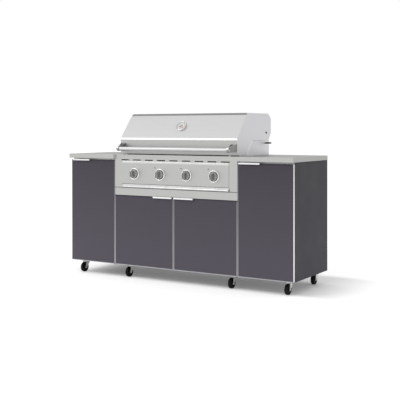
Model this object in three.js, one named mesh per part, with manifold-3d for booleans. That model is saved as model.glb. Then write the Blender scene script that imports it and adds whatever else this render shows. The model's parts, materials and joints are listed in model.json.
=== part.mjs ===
// Outdoor kitchen island: three cabinets on casters, two steel countertops and a built-in gas grill.
// Millimetres. X to the right, Y to the back, Z up. The origin is on the floor, under the middle of
// the island's bounding box. Depths are measured back from the front faces of the doors.
import * as THREE from 'three';
import { mergeVertices } from 'three/addons/utils/BufferGeometryUtils.js';
import Module from 'manifold-3d';

const wasm = await Module();
wasm.setup();

// Whole island
const islandWidth = 1829;
const centreWidth = 1016;
const bodyDepth = 562;
const doorLift = 3;
const sideDoorHeight = 756;
const counterReveal = 12;
const counterThickness = 31;
const counterFrontOverhang = 21;
const counterSideOverhang = 8.6;
const counterRearSetback = 16;
const sheet = 2;
const seat = 0.3;
const overrun = 5;

// Sides of the round pieces, from pins to wheels
const boltSides = 6;
const pinSides = 8;
const barSides = 12;
const ringSides = 18;
const wheelSides = 14;

// Cabinets
const moduleGap = 0.3;
const frontFlange = 22;
const topFlange = 22;
const crossRailDrop = 12;
const ventSlotLength = 120;
const ventSlotHeight = 8;
const ventSlotPitch = 22;
const ventRows = 4;
const ventTopDrop = 120;

// Doors and their pulls
const doorThickness = 20;
const doorBackGap = 2;
const doorGap = 3;
const doorTopGap = 4;
const frameFace = 5;
const frameFlange = 12;
const panelRecess = 1;
const pivotInset = 7;
const pivotFrontInset = 4.5;
const pivotRadius = 2.6;
const pivotClearance = 0.4;
const pivotBite = 4.4;
const pivotArmWidth = 8.8;
const pivotArmThickness = 2;
const pivotArmGap = 0.9;
const pullLength = 158;
const pullReach = 15;
const pullPlate = 2.4;
const pullSeatDepth = 12;
const pullLipThickness = 3;
const pullLipRise = 4.5;
const pullLipDrop = 7;
const pullNose = 1.2;
const outerPullInset = 20;
const centrePullInset = 6;
const rightPullInset = 12;

// Casters
const wheelDiameter = 74;
const wheelWidth = 24;
const wheelBore = 8.6;
const hubDiameter = 24;
const hubRecess = 4;
const rimDiameter = 56;
const tyreShoulder = 4;
const axleDiameter = 8;
const axleHeadDiameter = 15;
const axleHeadLength = 4;
const forkGap = 2;
const forkWall = 3;
const crownThickness = 3;
const crownClearance = 3;
const crownRadius = 21;
const forkBossRadius = 10;
const casterTrail = 25;
const kingpinRadius = 5;
const kingpinClearance = 0.5;
const casterPlateSize = 64;
const casterPlateThickness = 3;
const racewayRadius = 22;
const racewayHeight = 12;
const outerCasterInset = 68.5;
const innerCasterInset = 80;
const frontAxleDepth = 66;
const rearAxleInset = 75;

// Grill front: control panel, fascia, drip tray
const controlPanelHeight = 237;
const fasciaHeight = 53.5;
const seamGap = 3;
const raisedSideInset = 63;
const raisedTopDrop = 48;
const raisedBottomRise = 28;
const raisedStep = 3;
const raisedBevel = 4;
const slotCount = 9;
const slotRowInset = 57;
const slotLength = 70;
const slotHeight = 7;
const slotDrop = 38;
const knobCount = 4;
const knobEndInset = 178;
const knobDrop = 137;
const shaftHoleRadius = 7;
const panelSideReturn = 18;
const bumperInset = 78;
const bumperWidth = 16;
const bumperDepth = 9;
const traySideInset = 65;
const trayHeight = 20;
const trayRearInset = 67;
const traySheet = 1.5;
const trayNotchGap = 2;
const trayLipHeight = 16;
const trayLipReach = 14;
const trayLipCorner = 11;
const trayFrontHeight = 25;
const traySideClearance = 4;
const runnerFoot = 10;
const runnerDrop = 23;

// Knobs and bezels
const knobReach = 57;
const bezelOuterRadius = 43;
const bezelInnerRadius = 33;
const bezelThickness = 11;
const bezelRounding = 4;
const knobSkirtRadius = 30;
const knobSkirtDepth = 16;
const knobSkirtTaper = 2;
const knobFloat = 2;
const gripHeight = 57;
const gripWidth = 21;
const gripTipHeight = 42;
const gripTipWidth = 16;
const gripCorner = 5;
const shaftRadius = 4;
const shaftBite = 22;
const shaftClearance = 0.5;

// Firebox
const fireboxSideInset = 30;
const fireboxFrontDepth = 42;
const fireboxRearInset = 35;
const plateThickness = 3;
const fireboxBottomRise = 23;
const sideRimRise = 106;
const rimStartDepth = 70;
const rimEndDepth = 200;
const frontRimDrop = 2;
const rearWallRise = 196;
const fireboxFloorFlange = 34;
const ledge = 9;
const ledgeThickness = 3;

// Cooking grates, flame tamers, burners, gas rail, warming rack
const grateDrop = 12;
const grateBar = 8;
const grateBars = 15;
const grateCrossBars = 2;
const grateEndGap = 4;
const grateMiddleGap = 4;
const tamerDrop = 84;
const tamerRise = 34;
const tamerHalfWidth = 56;
const tamerEndGap = 3;
const burnerRadius = 13;
const burnerClearance = 0.4;
const burnerFrontDepth = 39.5;
const burnerEndGap = 22;
const burnerMouthRadius = 9;
const burnerMouthDepth = 35;
const burnerTipRadius = 5;
const railRadius = 9;
const railDepth = 27;
const railEndReach = 60;
const valveRadius = 13;
const valveFrontDepth = 6;
const nozzleRadius = 4.5;
const nozzleReach = 22;
const saddleWidth = 20;
const rackRodRadius = 3.5;
const rackWireRadius = 2.5;
const rackWires = 7;
const rackFrontInset = 167;
const rackRearInset = 70;
const rackRise = 112;
const rackEndGap = 4;
const rackPegLength = 14;

// Lid
const lidSideClearance = 1;
const lidSheet = 2.5;
const lidCapThickness = 5;
const lidFootRise = 6;
const lidKneeRise = 115;
const lidFrontDepth = 38;
const lidTopRise = 295;
const lidTopFrontDepth = 185;
const lidTopRearInset = 55;
const lidRearInset = 10;
const lidUpperChamferDrop = 36;
const lidLowerChamferRise = 155;
const lidHeelInset = 49.5;
const lidHeelRise = 112;
const lidSkirtRise = 104;
const lidSkirtDepth = 259;
const lidLegDepth = 186;
const lidLegCurveDepth = 200;
const lidKneeRadius = 10;
const lidBrowLength = 19;
const lidBrowRun = 6;
const lidBow = 2;
const lidBackOpeningDrop = 82;
const capBevelWidth = 32;
const capBevelRearWidth = 46;
const capBevelDepth = 3;
const lidPivotInset = 90;
const pivotRise = 158;
const lidPinRadius = 7;
const lidPinClearance = 0.4;
const lidPinProud = 3;
const lidLugRadius = 22;
const lidArmInset = 167;
const stopPinRadius = 5.5;
const stopPinReach = 46;
const stopPinDrop = 73;
const stopPinOffset = 16;

// Lid handle and thermometer
const handleRadius = 12.5;
const handleWall = 2;
const handleEndInset = 24;
const handleStandoff = 67;
const handleRise = 44;
const handleEndChamfer = 1;
const bracketRingRadius = 17;
const bracketTipWidth = 16;
const bracketTipInset = 5;
const bracketWall = 4;
const bracketFootTop = 84;
const bracketFootBottom = 28;
const bracketFootWidth = 37;
const bracketFootInset = 23.5;
const bracketFootThickness = 5;
const gaugeRadius = 40;
const gaugeDepth = 13;
const gaugeRingWidth = 7;
const gaugeDishDepth = 4;
const gaugeStemRadius = 4;
const gaugeStemLength = 45;
const gaugeStemClearance = 0.4;
const gaugeRiseShare = 0.47;

// Places worked out from the sizes above
const crownTop = wheelDiameter + crownClearance + crownThickness;
const cabinetLift = crownTop + racewayHeight;
const overallDepth = bodyDepth + knobReach;
const doorFace = knobReach - overallDepth / 2;
const rearFace = doorFace + bodyDepth;
const halfIsland = islandWidth / 2;
const halfCentre = centreWidth / 2;
const doorBottom = cabinetLift + doorLift;
const counterUnder = doorBottom + sideDoorHeight + counterReveal;
const counterTop = counterUnder + counterThickness;
const panelBottom = counterTop - controlPanelHeight;
const fasciaTop = panelBottom - seamGap;
const fasciaBottom = fasciaTop - fasciaHeight;
const centreDoorTop = fasciaBottom - doorTopGap;
const sideDoorTop = doorBottom + sideDoorHeight;
const carcassFront = doorFace + doorThickness + doorBackGap;
const trimUnder = counterTop - sheet;
const knobHeight = counterTop - knobDrop;
const knobPitch = (halfCentre - knobEndInset) * 2 / (knobCount - 1);
const knobXs = Array.from({ length: knobCount }, (_, i) => (i - (knobCount - 1) / 2) * knobPitch);
const raisedHalfWidth = halfCentre - raisedSideInset;
const trayHalfWidth = halfCentre - traySideInset;
const fireboxHalfWidth = halfCentre - fireboxSideInset;
const lidPivot = new THREE.Vector2(rearFace - lidPivotInset, counterTop + pivotRise);
const lidInnerHalf = fireboxHalfWidth + lidSideClearance;
const lidHalfWidth = lidInnerHalf + lidCapThickness;
const lidRear = rearFace - lidRearInset;
const lidHeel = rearFace - lidHeelInset;
const handleHalfLength = lidHalfWidth - handleEndInset;
const fireboxBottom = panelBottom + fireboxBottomRise;
const fireboxFront = doorFace + fireboxFrontDepth;
const fireboxRear = rearFace - fireboxRearInset;
const runnerFootTop = fireboxBottom - runnerDrop + sheet;
const handleY = doorFace + lidFrontDepth - handleStandoff;
const handleZ = counterTop + handleRise;
const gripStart = knobFloat + raisedStep;

// Finishes
const finish = (color, roughness, metalness) => new THREE.MeshStandardMaterial({ color, roughness, metalness });
const slate = finish('#504d52', 0.6, 0.1);
const brushedSteel = finish('#c1c1be', 0.35, 0.9);
const polishedSteel = finish('#d4d4d4', 0.2, 1);
const aluminium = finish('#bcbbbf', 0.4, 0.8);
const castSteel = finish('#8c8c8a', 0.4, 0.8);
const enamel = finish('#3a3a3c', 0.5, 0.3);
const knobMetal = finish('#7c7c7b', 0.35, 0.9);
const dialWhite = finish('#f0efee', 0.4, 0);
const zinc = finish('#9a9a98', 0.45, 0.8);
const casterRubber = finish('#161616', 0.8, 0);

const island = new THREE.Group();

// Solids and booleans
const solidOf = (geometry) => {
  const bare = geometry.clone();
  bare.deleteAttribute('normal');
  bare.deleteAttribute('uv');
  const merged = mergeVertices(bare);
  return new wasm.Manifold(new wasm.Mesh({
    numProp: 3,
    vertProperties: merged.attributes.position.array,
    triVerts: Uint32Array.from(merged.index.array),
  }));
};
const join = (first, ...others) => others.reduce((whole, piece) => whole.add(piece), first);
const cut = (first, ...others) => others.reduce((whole, piece) => whole.subtract(piece), first);
const addPiece = (name, solid, material) => {
  const { vertProperties, triVerts } = solid.getMesh();
  const geometry = new THREE.BufferGeometry();
  geometry.setAttribute('position', new THREE.BufferAttribute(vertProperties, 3));
  geometry.setIndex(new THREE.BufferAttribute(triVerts, 1));
  geometry.computeVertexNormals();
  const mesh = new THREE.Mesh(geometry, material);
  mesh.name = name;
  island.add(mesh);
};

// A box between two corners
const box = (x0, x1, y0, y1, z0, z1) => {
  const geometry = new THREE.BoxGeometry(x1 - x0, y1 - y0, z1 - z0);
  geometry.translate((x0 + x1) / 2, (y0 + y1) / 2, (z0 + z1) / 2);
  return solidOf(geometry);
};
// Outlines drawn in (y, z), (x, z) or (x, y) and drawn out along the third axis
const extrude = (shape, depth, curveSegments) => (
  new THREE.ExtrudeGeometry(shape, { depth, bevelEnabled: false, curveSegments })
);
const alongX = (shape, x0, x1, curveSegments = 1) => {
  const geometry = extrude(shape, x1 - x0, curveSegments);
  const axes = new THREE.Matrix4().makeBasis(
    new THREE.Vector3(0, 1, 0), new THREE.Vector3(0, 0, 1), new THREE.Vector3(1, 0, 0));
  return solidOf(geometry.applyMatrix4(axes).translate(x0, 0, 0));
};
const alongY = (shape, y0, y1, curveSegments = 1) => {
  const geometry = extrude(shape, y1 - y0, curveSegments);
  const axes = new THREE.Matrix4().makeBasis(
    new THREE.Vector3(1, 0, 0), new THREE.Vector3(0, 0, 1), new THREE.Vector3(0, -1, 0));
  return solidOf(geometry.applyMatrix4(axes).translate(0, y1, 0));
};
const alongZ = (shape, z0, z1, curveSegments = 1) => (
  solidOf(extrude(shape, z1 - z0, curveSegments).translate(0, 0, z0))
);
// A round bar between two points
const bar = (from, to, radius, sides = barSides) => {
  const start = new THREE.Vector3(...from);
  const way = new THREE.Vector3(...to).sub(start);
  const geometry = new THREE.CylinderGeometry(radius, radius, way.length(), sides);
  const turn = new THREE.Quaternion().setFromUnitVectors(new THREE.Vector3(0, 1, 0), way.clone().normalize());
  geometry.applyQuaternion(turn);
  const middle = start.addScaledVector(way, 0.5);
  return solidOf(geometry.translate(middle.x, middle.y, middle.z));
};
// A turned piece whose axis points along a given direction from a given point
const turned = (profile, origin, direction, segments) => {
  const points = profile.map(([r, h]) => new THREE.Vector2(r, h));
  const geometry = new THREE.LatheGeometry(points, segments, Math.PI / segments);
  const turn = new THREE.Quaternion().setFromUnitVectors(
    new THREE.Vector3(0, 1, 0), new THREE.Vector3(...direction).normalize());
  return solidOf(geometry.applyQuaternion(turn).translate(...origin));
};
const outline = (points) => new THREE.Shape(points.map(([a, b]) => new THREE.Vector2(a, b)));
const roundedRectangle = (a0, a1, b0, b1, corner) => {
  const shape = new THREE.Shape();
  shape.moveTo(a0 + corner, b0);
  shape.lineTo(a1 - corner, b0);
  shape.absarc(a1 - corner, b0 + corner, corner, -Math.PI / 2, 0);
  shape.absarc(a1 - corner, b1 - corner, corner, 0, Math.PI / 2);
  shape.absarc(a0 + corner, b1 - corner, corner, Math.PI / 2, Math.PI);
  shape.absarc(a0 + corner, b0 + corner, corner, Math.PI, Math.PI * 1.5);
  return shape;
};

// Cabinets: folded slate-coated boxes with flanged fronts, open tops, caster plates and door pivots
const outerCasterX = halfIsland - outerCasterInset;
const innerCasterX = halfCentre - innerCasterInset;
const casterXs = [-outerCasterX, -innerCasterX, innerCasterX, outerCasterX];
const kingpinYs = [
  doorFace + frontAxleDepth + casterTrail,
  rearFace - rearAxleInset + casterTrail,
];
const casterSeat = (x, y) => {
  const half = casterPlateSize / 2;
  const plateUnder = cabinetLift - casterPlateThickness;
  return join(
    box(x - half, x + half, y - half, y + half, plateUnder, cabinetLift + sheet / 2),
    bar([x, y, crownTop + seat], [x, y, cabinetLift], racewayRadius),
    bar([x, y, crownTop - crownThickness], [x, y, cabinetLift], kingpinRadius, pinSides),
  );
};
const pivotArm = (x, armBottom, pinFrom, pinTo) => {
  const pivotY = doorFace + pivotFrontInset;
  const half = pivotArmWidth / 2;
  return join(
    box(x - half, x + half, pivotY, carcassFront + sheet, armBottom, armBottom + pivotArmThickness),
    bar([x, pivotY, armBottom], [x, pivotY, armBottom + pivotArmThickness], half, pinSides),
    bar([x, pivotY, pinFrom], [x, pivotY, pinTo], pivotRadius, pinSides),
  );
};
const doorPivots = (x, doorTop) => {
  const lowArm = doorBottom - pivotArmGap - pivotArmThickness;
  const highArm = doorTop + pivotArmGap;
  return [
    pivotArm(x, lowArm, lowArm, doorBottom + pivotBite),
    pivotArm(x, highArm, doorTop - pivotBite, highArm + pivotArmThickness),
  ];
};
const carcass = (left, right, top) => {
  const shell = box(left, right, carcassFront, rearFace, cabinetLift, top);
  const inside = box(left + sheet, right - sheet, carcassFront + sheet, rearFace - sheet, cabinetLift + sheet, top - sheet);
  const mouth = box(left + frontFlange, right - frontFlange, carcassFront - overrun, carcassFront + sheet + overrun,
    cabinetLift + frontFlange, top - frontFlange);
  const hatch = box(left + topFlange, right - topFlange, carcassFront + topFlange, rearFace - topFlange,
    top - sheet - overrun, top + overrun);
  const middle = (left + right) / 2;
  const slots = [];
  for (let row = 0; row < ventRows; row += 1) {
    const z = top - ventTopDrop - row * ventSlotPitch;
    const slot = roundedRectangle(middle - ventSlotLength / 2, middle + ventSlotLength / 2,
      z - ventSlotHeight / 2, z + ventSlotHeight / 2, ventSlotHeight / 2);
    slots.push(alongY(slot, rearFace - sheet - overrun, rearFace + overrun));
  }
  return cut(shell, inside, mouth, hatch, ...slots);
};
const addSideCabinet = (name, left, right, pivotX, casterX) => {
  const seats = kingpinYs.map((y) => casterSeat(casterX, y));
  addPiece(name, join(carcass(left, right, counterUnder - seat), ...doorPivots(pivotX, sideDoorTop), ...seats), slate);
};
const sideInner = halfCentre + moduleGap / 2;
const leftPivotX = -halfCentre - doorGap / 2 - pivotInset;
const centrePivotX = halfCentre - doorGap / 2 - pivotInset;
const rightPivotX = halfIsland - pivotInset;
addSideCabinet('left_cabinet', -halfIsland, -sideInner, leftPivotX, -outerCasterX);
addSideCabinet('right_cabinet', sideInner, halfIsland, rightPivotX, outerCasterX);

const centreHalf = halfCentre - moduleGap / 2;
const centreTop = trimUnder - seat;
const addCentreCabinet = () => {
  const railTop = fasciaTop;
  const railUnder = centreDoorTop - crossRailDrop;
  const grillBay = box(-centreHalf + frontFlange, centreHalf - frontFlange, carcassFront - overrun,
    carcassFront + sheet + overrun, railTop, centreTop + overrun);
  const crossRail = box(-centreHalf + sheet, centreHalf - sheet, carcassFront, carcassFront + sheet, railUnder, railTop);
  const openTop = box(-centreHalf + topFlange, centreHalf - topFlange, carcassFront - overrun, rearFace - topFlange,
    centreTop - sheet - overrun, centreTop + overrun);
  const pivots = [-centrePivotX, centrePivotX].flatMap((x) => doorPivots(x, centreDoorTop));
  const seats = [-innerCasterX, innerCasterX].flatMap((x) => kingpinYs.map((y) => casterSeat(x, y)));
  const shell = cut(carcass(-centreHalf, centreHalf, centreTop), grillBay, openTop);
  addPiece('centre_cabinet', join(shell, crossRail, ...pivots, ...seats), slate);
};
addCentreCabinet();

// Countertops: folded steel pans with a returned lower edge
const addCountertop = (name, left, right) => {
  const front = doorFace - counterFrontOverhang;
  const rear = rearFace - counterRearSetback;
  const lip = counterReveal;
  const pan = box(left, right, front, rear, counterUnder, counterTop);
  const hollow = box(left + sheet, right - sheet, front + sheet, rear - sheet, counterUnder + sheet, counterTop - sheet);
  const mouth = box(left + lip, right - lip, front + lip, rear - lip, counterUnder - overrun, counterUnder + sheet + overrun);
  addPiece(name, cut(pan, hollow, mouth), brushedSteel);
};
addCountertop('left_countertop', -halfIsland - counterSideOverhang, -sideInner);
addCountertop('right_countertop', sideInner, halfIsland + counterSideOverhang);

// Fascia: a steel channel between the centre doors and the control panel
const addFascia = () => {
  const channelBack = carcassFront - seat;
  const channel = box(-centreHalf, centreHalf, doorFace, channelBack, fasciaBottom, fasciaTop);
  const hollow = box(-centreHalf - overrun, centreHalf + overrun, doorFace + sheet, channelBack + overrun,
    fasciaBottom + sheet, fasciaTop - sheet);
  addPiece('grill_fascia', cut(channel, hollow), brushedSteel);
};
addFascia();

// Doors: an aluminium frame, a folded slate panel and an edge pull on the top rail
const addDoor = (name, left, right, top, pivotX, pullLeft) => {
  const back = doorFace + doorThickness;
  const flangeFront = back - sheet;
  const pivotY = doorFace + pivotFrontInset;
  const ring = box(left, right, doorFace, back, doorBottom, top);
  const rebate = box(left + frameFace, right - frameFace, doorFace - overrun, flangeFront, doorBottom + frameFace, top - frameFace);
  const window = box(left + frameFlange, right - frameFlange, flangeFront - overrun, back + overrun,
    doorBottom + frameFlange, top - frameFlange);
  const holeRadius = pivotRadius + pivotClearance;
  const lowHole = bar([pivotX, pivotY, doorBottom - overrun], [pivotX, pivotY, doorBottom + frameFace + overrun], holeRadius, pinSides);
  const highHole = bar([pivotX, pivotY, top - frameFace - overrun], [pivotX, pivotY, top + overrun], holeRadius, pinSides);
  addPiece(`${name}_door_frame`, cut(ring, rebate, window, lowHole, highHole), aluminium);

  const rim = frameFace + seat;
  const panelFront = doorFace + panelRecess;
  const panelBack = flangeFront - seat;
  const panel = box(left + rim, right - rim, panelFront, panelBack, doorBottom + rim, top - rim);
  const pocket = box(left + rim + sheet, right - rim - sheet, panelFront + sheet, panelBack + overrun,
    doorBottom + rim + sheet, top - rim - sheet);
  addPiece(`${name}_door_panel`, cut(panel, pocket), slate);

  const plateUnder = top + seat;
  const lipFront = doorFace - pullReach;
  const lipBack = lipFront + pullLipThickness;
  const pull = outline([
    [doorFace + pullSeatDepth, plateUnder],
    [doorFace + pullSeatDepth, plateUnder + pullPlate],
    [lipBack, plateUnder + pullPlate],
    [lipBack - pullNose, top + pullLipRise],
    [lipFront + pullNose, top + pullLipRise],
    [lipFront, top + pullLipRise - pullNose],
    [lipFront, top - pullLipDrop + pullNose],
    [lipFront + pullNose, top - pullLipDrop],
    [lipBack, top - pullLipDrop],
    [lipBack, plateUnder],
  ]);
  addPiece(`${name}_door_pull`, alongX(pull, pullLeft, pullLeft + pullLength), aluminium);
};
const halfDoorGap = doorGap / 2;
const centreDoorOuter = halfCentre - halfDoorGap;
addDoor('left', -halfIsland, -halfCentre - halfDoorGap, sideDoorTop, leftPivotX, -halfIsland + outerPullInset);
addDoor('centre_left', -centreDoorOuter, -halfDoorGap, centreDoorTop, -centrePivotX,
  -halfDoorGap - centrePullInset - pullLength);
addDoor('centre_right', halfDoorGap, centreDoorOuter, centreDoorTop, centrePivotX, halfDoorGap + centrePullInset);
addDoor('right', halfCentre + halfDoorGap, halfIsland, sideDoorTop, rightPivotX, halfCentre + halfDoorGap + rightPullInset);

// Casters: a pressed fork on a kingpin, its axle, and a moulded wheel
const wheelRadius = wheelDiameter / 2;
const axleZ = wheelRadius * Math.cos(Math.PI / wheelSides);
const addCaster = (name, x, kingpinY) => {
  const axleY = kingpinY - casterTrail;
  const inner = wheelWidth / 2 + forkGap;
  const outer = inner + forkWall;
  const crownUnder = crownTop - crownThickness;
  const leg = new THREE.Shape();
  leg.moveTo(kingpinY + crownRadius, crownTop);
  leg.lineTo(kingpinY - crownRadius, crownTop);
  leg.lineTo(axleY - forkBossRadius, axleZ);
  leg.absarc(axleY, axleZ, forkBossRadius, Math.PI, Math.PI * 2);
  leg.lineTo(kingpinY + crownRadius, crownUnder);
  const crown = roundedRectangle(x - outer, x + outer, kingpinY - crownRadius, kingpinY + crownRadius, forkBossRadius);
  const pinHole = bar([x, kingpinY, crownUnder - overrun], [x, kingpinY, crownTop + overrun],
    kingpinRadius + kingpinClearance, pinSides);
  const fork = join(
    alongX(leg, x - outer, x - inner, 3),
    alongX(leg, x + inner, x + outer, 3),
    alongZ(crown, crownUnder, crownTop),
    bar([x - outer, axleY, axleZ], [x + outer, axleY, axleZ], axleDiameter / 2, pinSides),
    bar([x - outer - axleHeadLength, axleY, axleZ], [x - outer + seat, axleY, axleZ], axleHeadDiameter / 2, boltSides),
    bar([x + outer - seat, axleY, axleZ], [x + outer + axleHeadLength, axleY, axleZ], axleHeadDiameter / 2, boltSides),
  );
  addPiece(`${name}_caster_fork`, cut(fork, pinHole), zinc);

  const half = wheelWidth / 2;
  const wheel = [
    [wheelBore / 2, -half],
    [hubDiameter / 2, -half],
    [rimDiameter / 2, hubRecess - half],
    [wheelRadius - tyreShoulder, -half],
    [wheelRadius, tyreShoulder - half],
    [wheelRadius, half - tyreShoulder],
    [wheelRadius - tyreShoulder, half],
    [rimDiameter / 2, half - hubRecess],
    [hubDiameter / 2, half],
    [wheelBore / 2, half],
    [wheelBore / 2, -half],
  ];
  addPiece(`${name}_caster_wheel`, turned(wheel, [x, axleY, axleZ], [1, 0, 0], wheelSides), casterRubber);
};
const casterColumns = ['far_left', 'mid_left', 'mid_right', 'far_right'];
casterXs.forEach((x, column) => {
  addCaster(`${casterColumns[column]}_front`, x, kingpinYs[0]);
  addCaster(`${casterColumns[column]}_rear`, x, kingpinYs[1]);
});

// Firebox: side plates with lid lugs and stop pins, end walls, ledges, top trim and tray runners
const mirrored = (build) => join(build(-1), build(1));
const rackRodYs = [rearFace - rackFrontInset, rearFace - rackRearInset];
const addFirebox = () => {
  const inner = fireboxHalfWidth - plateThickness;
  const rim = counterTop + sideRimRise;
  const sideOutline = new THREE.Shape();
  sideOutline.moveTo(fireboxFront, fireboxBottom);
  sideOutline.lineTo(fireboxFront, counterTop - frontRimDrop);
  sideOutline.lineTo(doorFace + rimStartDepth, counterTop - frontRimDrop);
  sideOutline.lineTo(doorFace + rimEndDepth, rim);
  sideOutline.lineTo(rearFace - lidArmInset, rim);
  sideOutline.lineTo(lidPivot.x - lidLugRadius, lidPivot.y);
  sideOutline.absarc(lidPivot.x, lidPivot.y, lidLugRadius, Math.PI, 0, true);
  sideOutline.lineTo(lidPivot.x + lidLugRadius, rim);
  sideOutline.lineTo(fireboxRear, rim);
  sideOutline.lineTo(fireboxRear, fireboxBottom);
  const sidePlate = (side) => {
    const plate = alongX(sideOutline, side * (fireboxHalfWidth - plateThickness / 2) - plateThickness / 2,
      side * (fireboxHalfWidth - plateThickness / 2) + plateThickness / 2, 4);
    const lidPin = bar([side * inner, lidPivot.x, lidPivot.y],
      [side * (lidHalfWidth + lidPinProud), lidPivot.x, lidPivot.y], lidPinRadius);
    const stopY = lidPivot.x - stopPinOffset;
    const stopZ = lidPivot.y - stopPinDrop;
    const stopPin = bar([side * inner, stopY, stopZ], [side * (lidHalfWidth + stopPinReach), stopY, stopZ], stopPinRadius);
    return join(plate, lidPin, stopPin);
  };
  const sides = mirrored(sidePlate);
  const frontWall = box(-inner, inner, fireboxFront, fireboxFront + sheet, fireboxBottom, counterTop - frontRimDrop);
  const rearWall = box(-inner, inner, fireboxRear - sheet, fireboxRear, fireboxBottom, counterTop + rearWallRise);
  const floorFlange = cut(
    box(-fireboxHalfWidth, fireboxHalfWidth, fireboxFront, fireboxRear, fireboxBottom, fireboxBottom + sheet),
    box(-inner + fireboxFloorFlange, inner - fireboxFloorFlange, fireboxFront + fireboxFloorFlange,
      fireboxRear - fireboxFloorFlange, fireboxBottom - overrun, fireboxBottom + sheet + overrun),
  );
  const trim = cut(
    box(-centreHalf, centreHalf, fireboxFront, rearFace - counterRearSetback, trimUnder, counterTop),
    box(-inner, inner, fireboxFront - overrun, fireboxRear - sheet, trimUnder - overrun, counterTop + overrun),
  );
  const ledgeAt = (top) => [
    box(-inner, inner, fireboxFront, fireboxFront + sheet + ledge, top - ledgeThickness, top),
    box(-inner, inner, fireboxRear - sheet - ledge, fireboxRear, top - ledgeThickness, top),
  ];
  const pegs = mirrored((side) => join(...rackRodYs.map((y) => {
    const z = counterTop + rackRise - rackRodRadius * 2 - seat;
    return bar([side * (inner + sheet / 2), y, z], [side * (inner - rackPegLength), y, z], rackRodRadius, pinSides);
  })));
  const runner = mirrored((side) => {
    const web = side * (trayHalfWidth + traySideClearance + sheet / 2);
    const footOuter = web + side * sheet / 2;
    const footInner = web - side * (traySideClearance + runnerFoot);
    const front = carcassFront + sheet + seat;
    return join(
      box(web - sheet / 2, web + sheet / 2, front, fireboxRear, runnerFootTop - sheet, fireboxBottom + sheet / 2),
      box(Math.min(footInner, footOuter), Math.max(footInner, footOuter), front, fireboxRear, runnerFootTop - sheet, runnerFootTop),
    );
  });
  const railBack = doorFace + railDepth + railRadius + seat;
  const saddles = [-knobPitch, 0, knobPitch].map((x) => (
    box(x - saddleWidth / 2, x + saddleWidth / 2, railBack, fireboxFront + sheet / 2, knobHeight - railRadius, knobHeight + railRadius)));
  const burnerHoles = knobXs.map((x) => bar([x, fireboxFront - overrun, knobHeight],
    [x, fireboxFront + sheet + overrun, knobHeight], burnerRadius + burnerClearance, wheelSides));
  const tipHoles = knobXs.map((x) => bar([x, fireboxRear - sheet - overrun, knobHeight],
    [x, fireboxRear + overrun, knobHeight], burnerTipRadius + burnerClearance));
  const body = join(sides, frontWall, rearWall, floorFlange, trim, pegs, runner, ...saddles,
    ...ledgeAt(counterTop - grateDrop - seat), ...ledgeAt(counterTop - tamerDrop));
  addPiece('firebox', cut(body, ...burnerHoles, ...tipHoles), brushedSteel);
};
addFirebox();

// Control panel: folded front with a pressed centre field, cooling slots and shaft holes
const addControlPanel = () => {
  const panelBack = carcassFront - seat;
  const shelfBack = fireboxFront - seat;
  const raisedTop = counterTop - raisedTopDrop;
  const raisedBottom = panelBottom + raisedBottomRise;
  const field = (grow, front, back) => alongY(
    roundedRectangle(-raisedHalfWidth + grow, raisedHalfWidth - grow, raisedBottom + grow, raisedTop - grow, raisedBevel * 2),
    front, back);
  const raisedFront = doorFace - raisedStep;
  const shell = join(
    box(-centreHalf, centreHalf, doorFace, panelBack, panelBottom, counterTop),
    box(-centreHalf, centreHalf, doorFace, shelfBack, counterTop - sheet, counterTop),
    field(0, doorFace - raisedStep / 2, doorFace),
    field(raisedBevel / 2, raisedFront, doorFace),
  );
  const bumperX = halfCentre - bumperInset;
  const bumper = (x) => box(x - bumperWidth / 2, x + bumperWidth / 2, shelfBack - bumperDepth, shelfBack,
    counterTop - sheet / 2, counterTop + lidFootRise - seat);
  const hollow = box(-centreHalf + panelSideReturn, centreHalf - panelSideReturn, doorFace + sheet, panelBack + overrun,
    panelBottom + sheet, counterTop - sheet);
  const fieldHollow = field(raisedBevel, raisedFront + sheet, doorFace + sheet + overrun);
  const notch = box(-trayHalfWidth - trayNotchGap * 2, trayHalfWidth + trayNotchGap * 2, doorFace - overrun,
    panelBack + overrun, panelBottom - overrun, panelBottom + trayFrontHeight + trayNotchGap);
  const slotPitch = ((halfCentre - slotRowInset) * 2 - slotLength) / (slotCount - 1);
  const slots = [];
  for (let i = 0; i < slotCount; i += 1) {
    const x = (i - (slotCount - 1) / 2) * slotPitch;
    const z = counterTop - slotDrop;
    slots.push(alongY(
      roundedRectangle(x - slotLength / 2, x + slotLength / 2, z - slotHeight / 2, z + slotHeight / 2, slotHeight / 2),
      doorFace - overrun, doorFace + sheet + overrun));
  }
  const holes = knobXs.map((x) => bar([x, raisedFront - overrun, knobHeight], [x, doorFace + overrun, knobHeight], shaftHoleRadius));
  addPiece('control_panel', cut(join(shell, bumper(-bumperX), bumper(bumperX)), hollow, fieldHollow, notch, ...slots, ...holes), brushedSteel);
};
addControlPanel();

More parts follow.
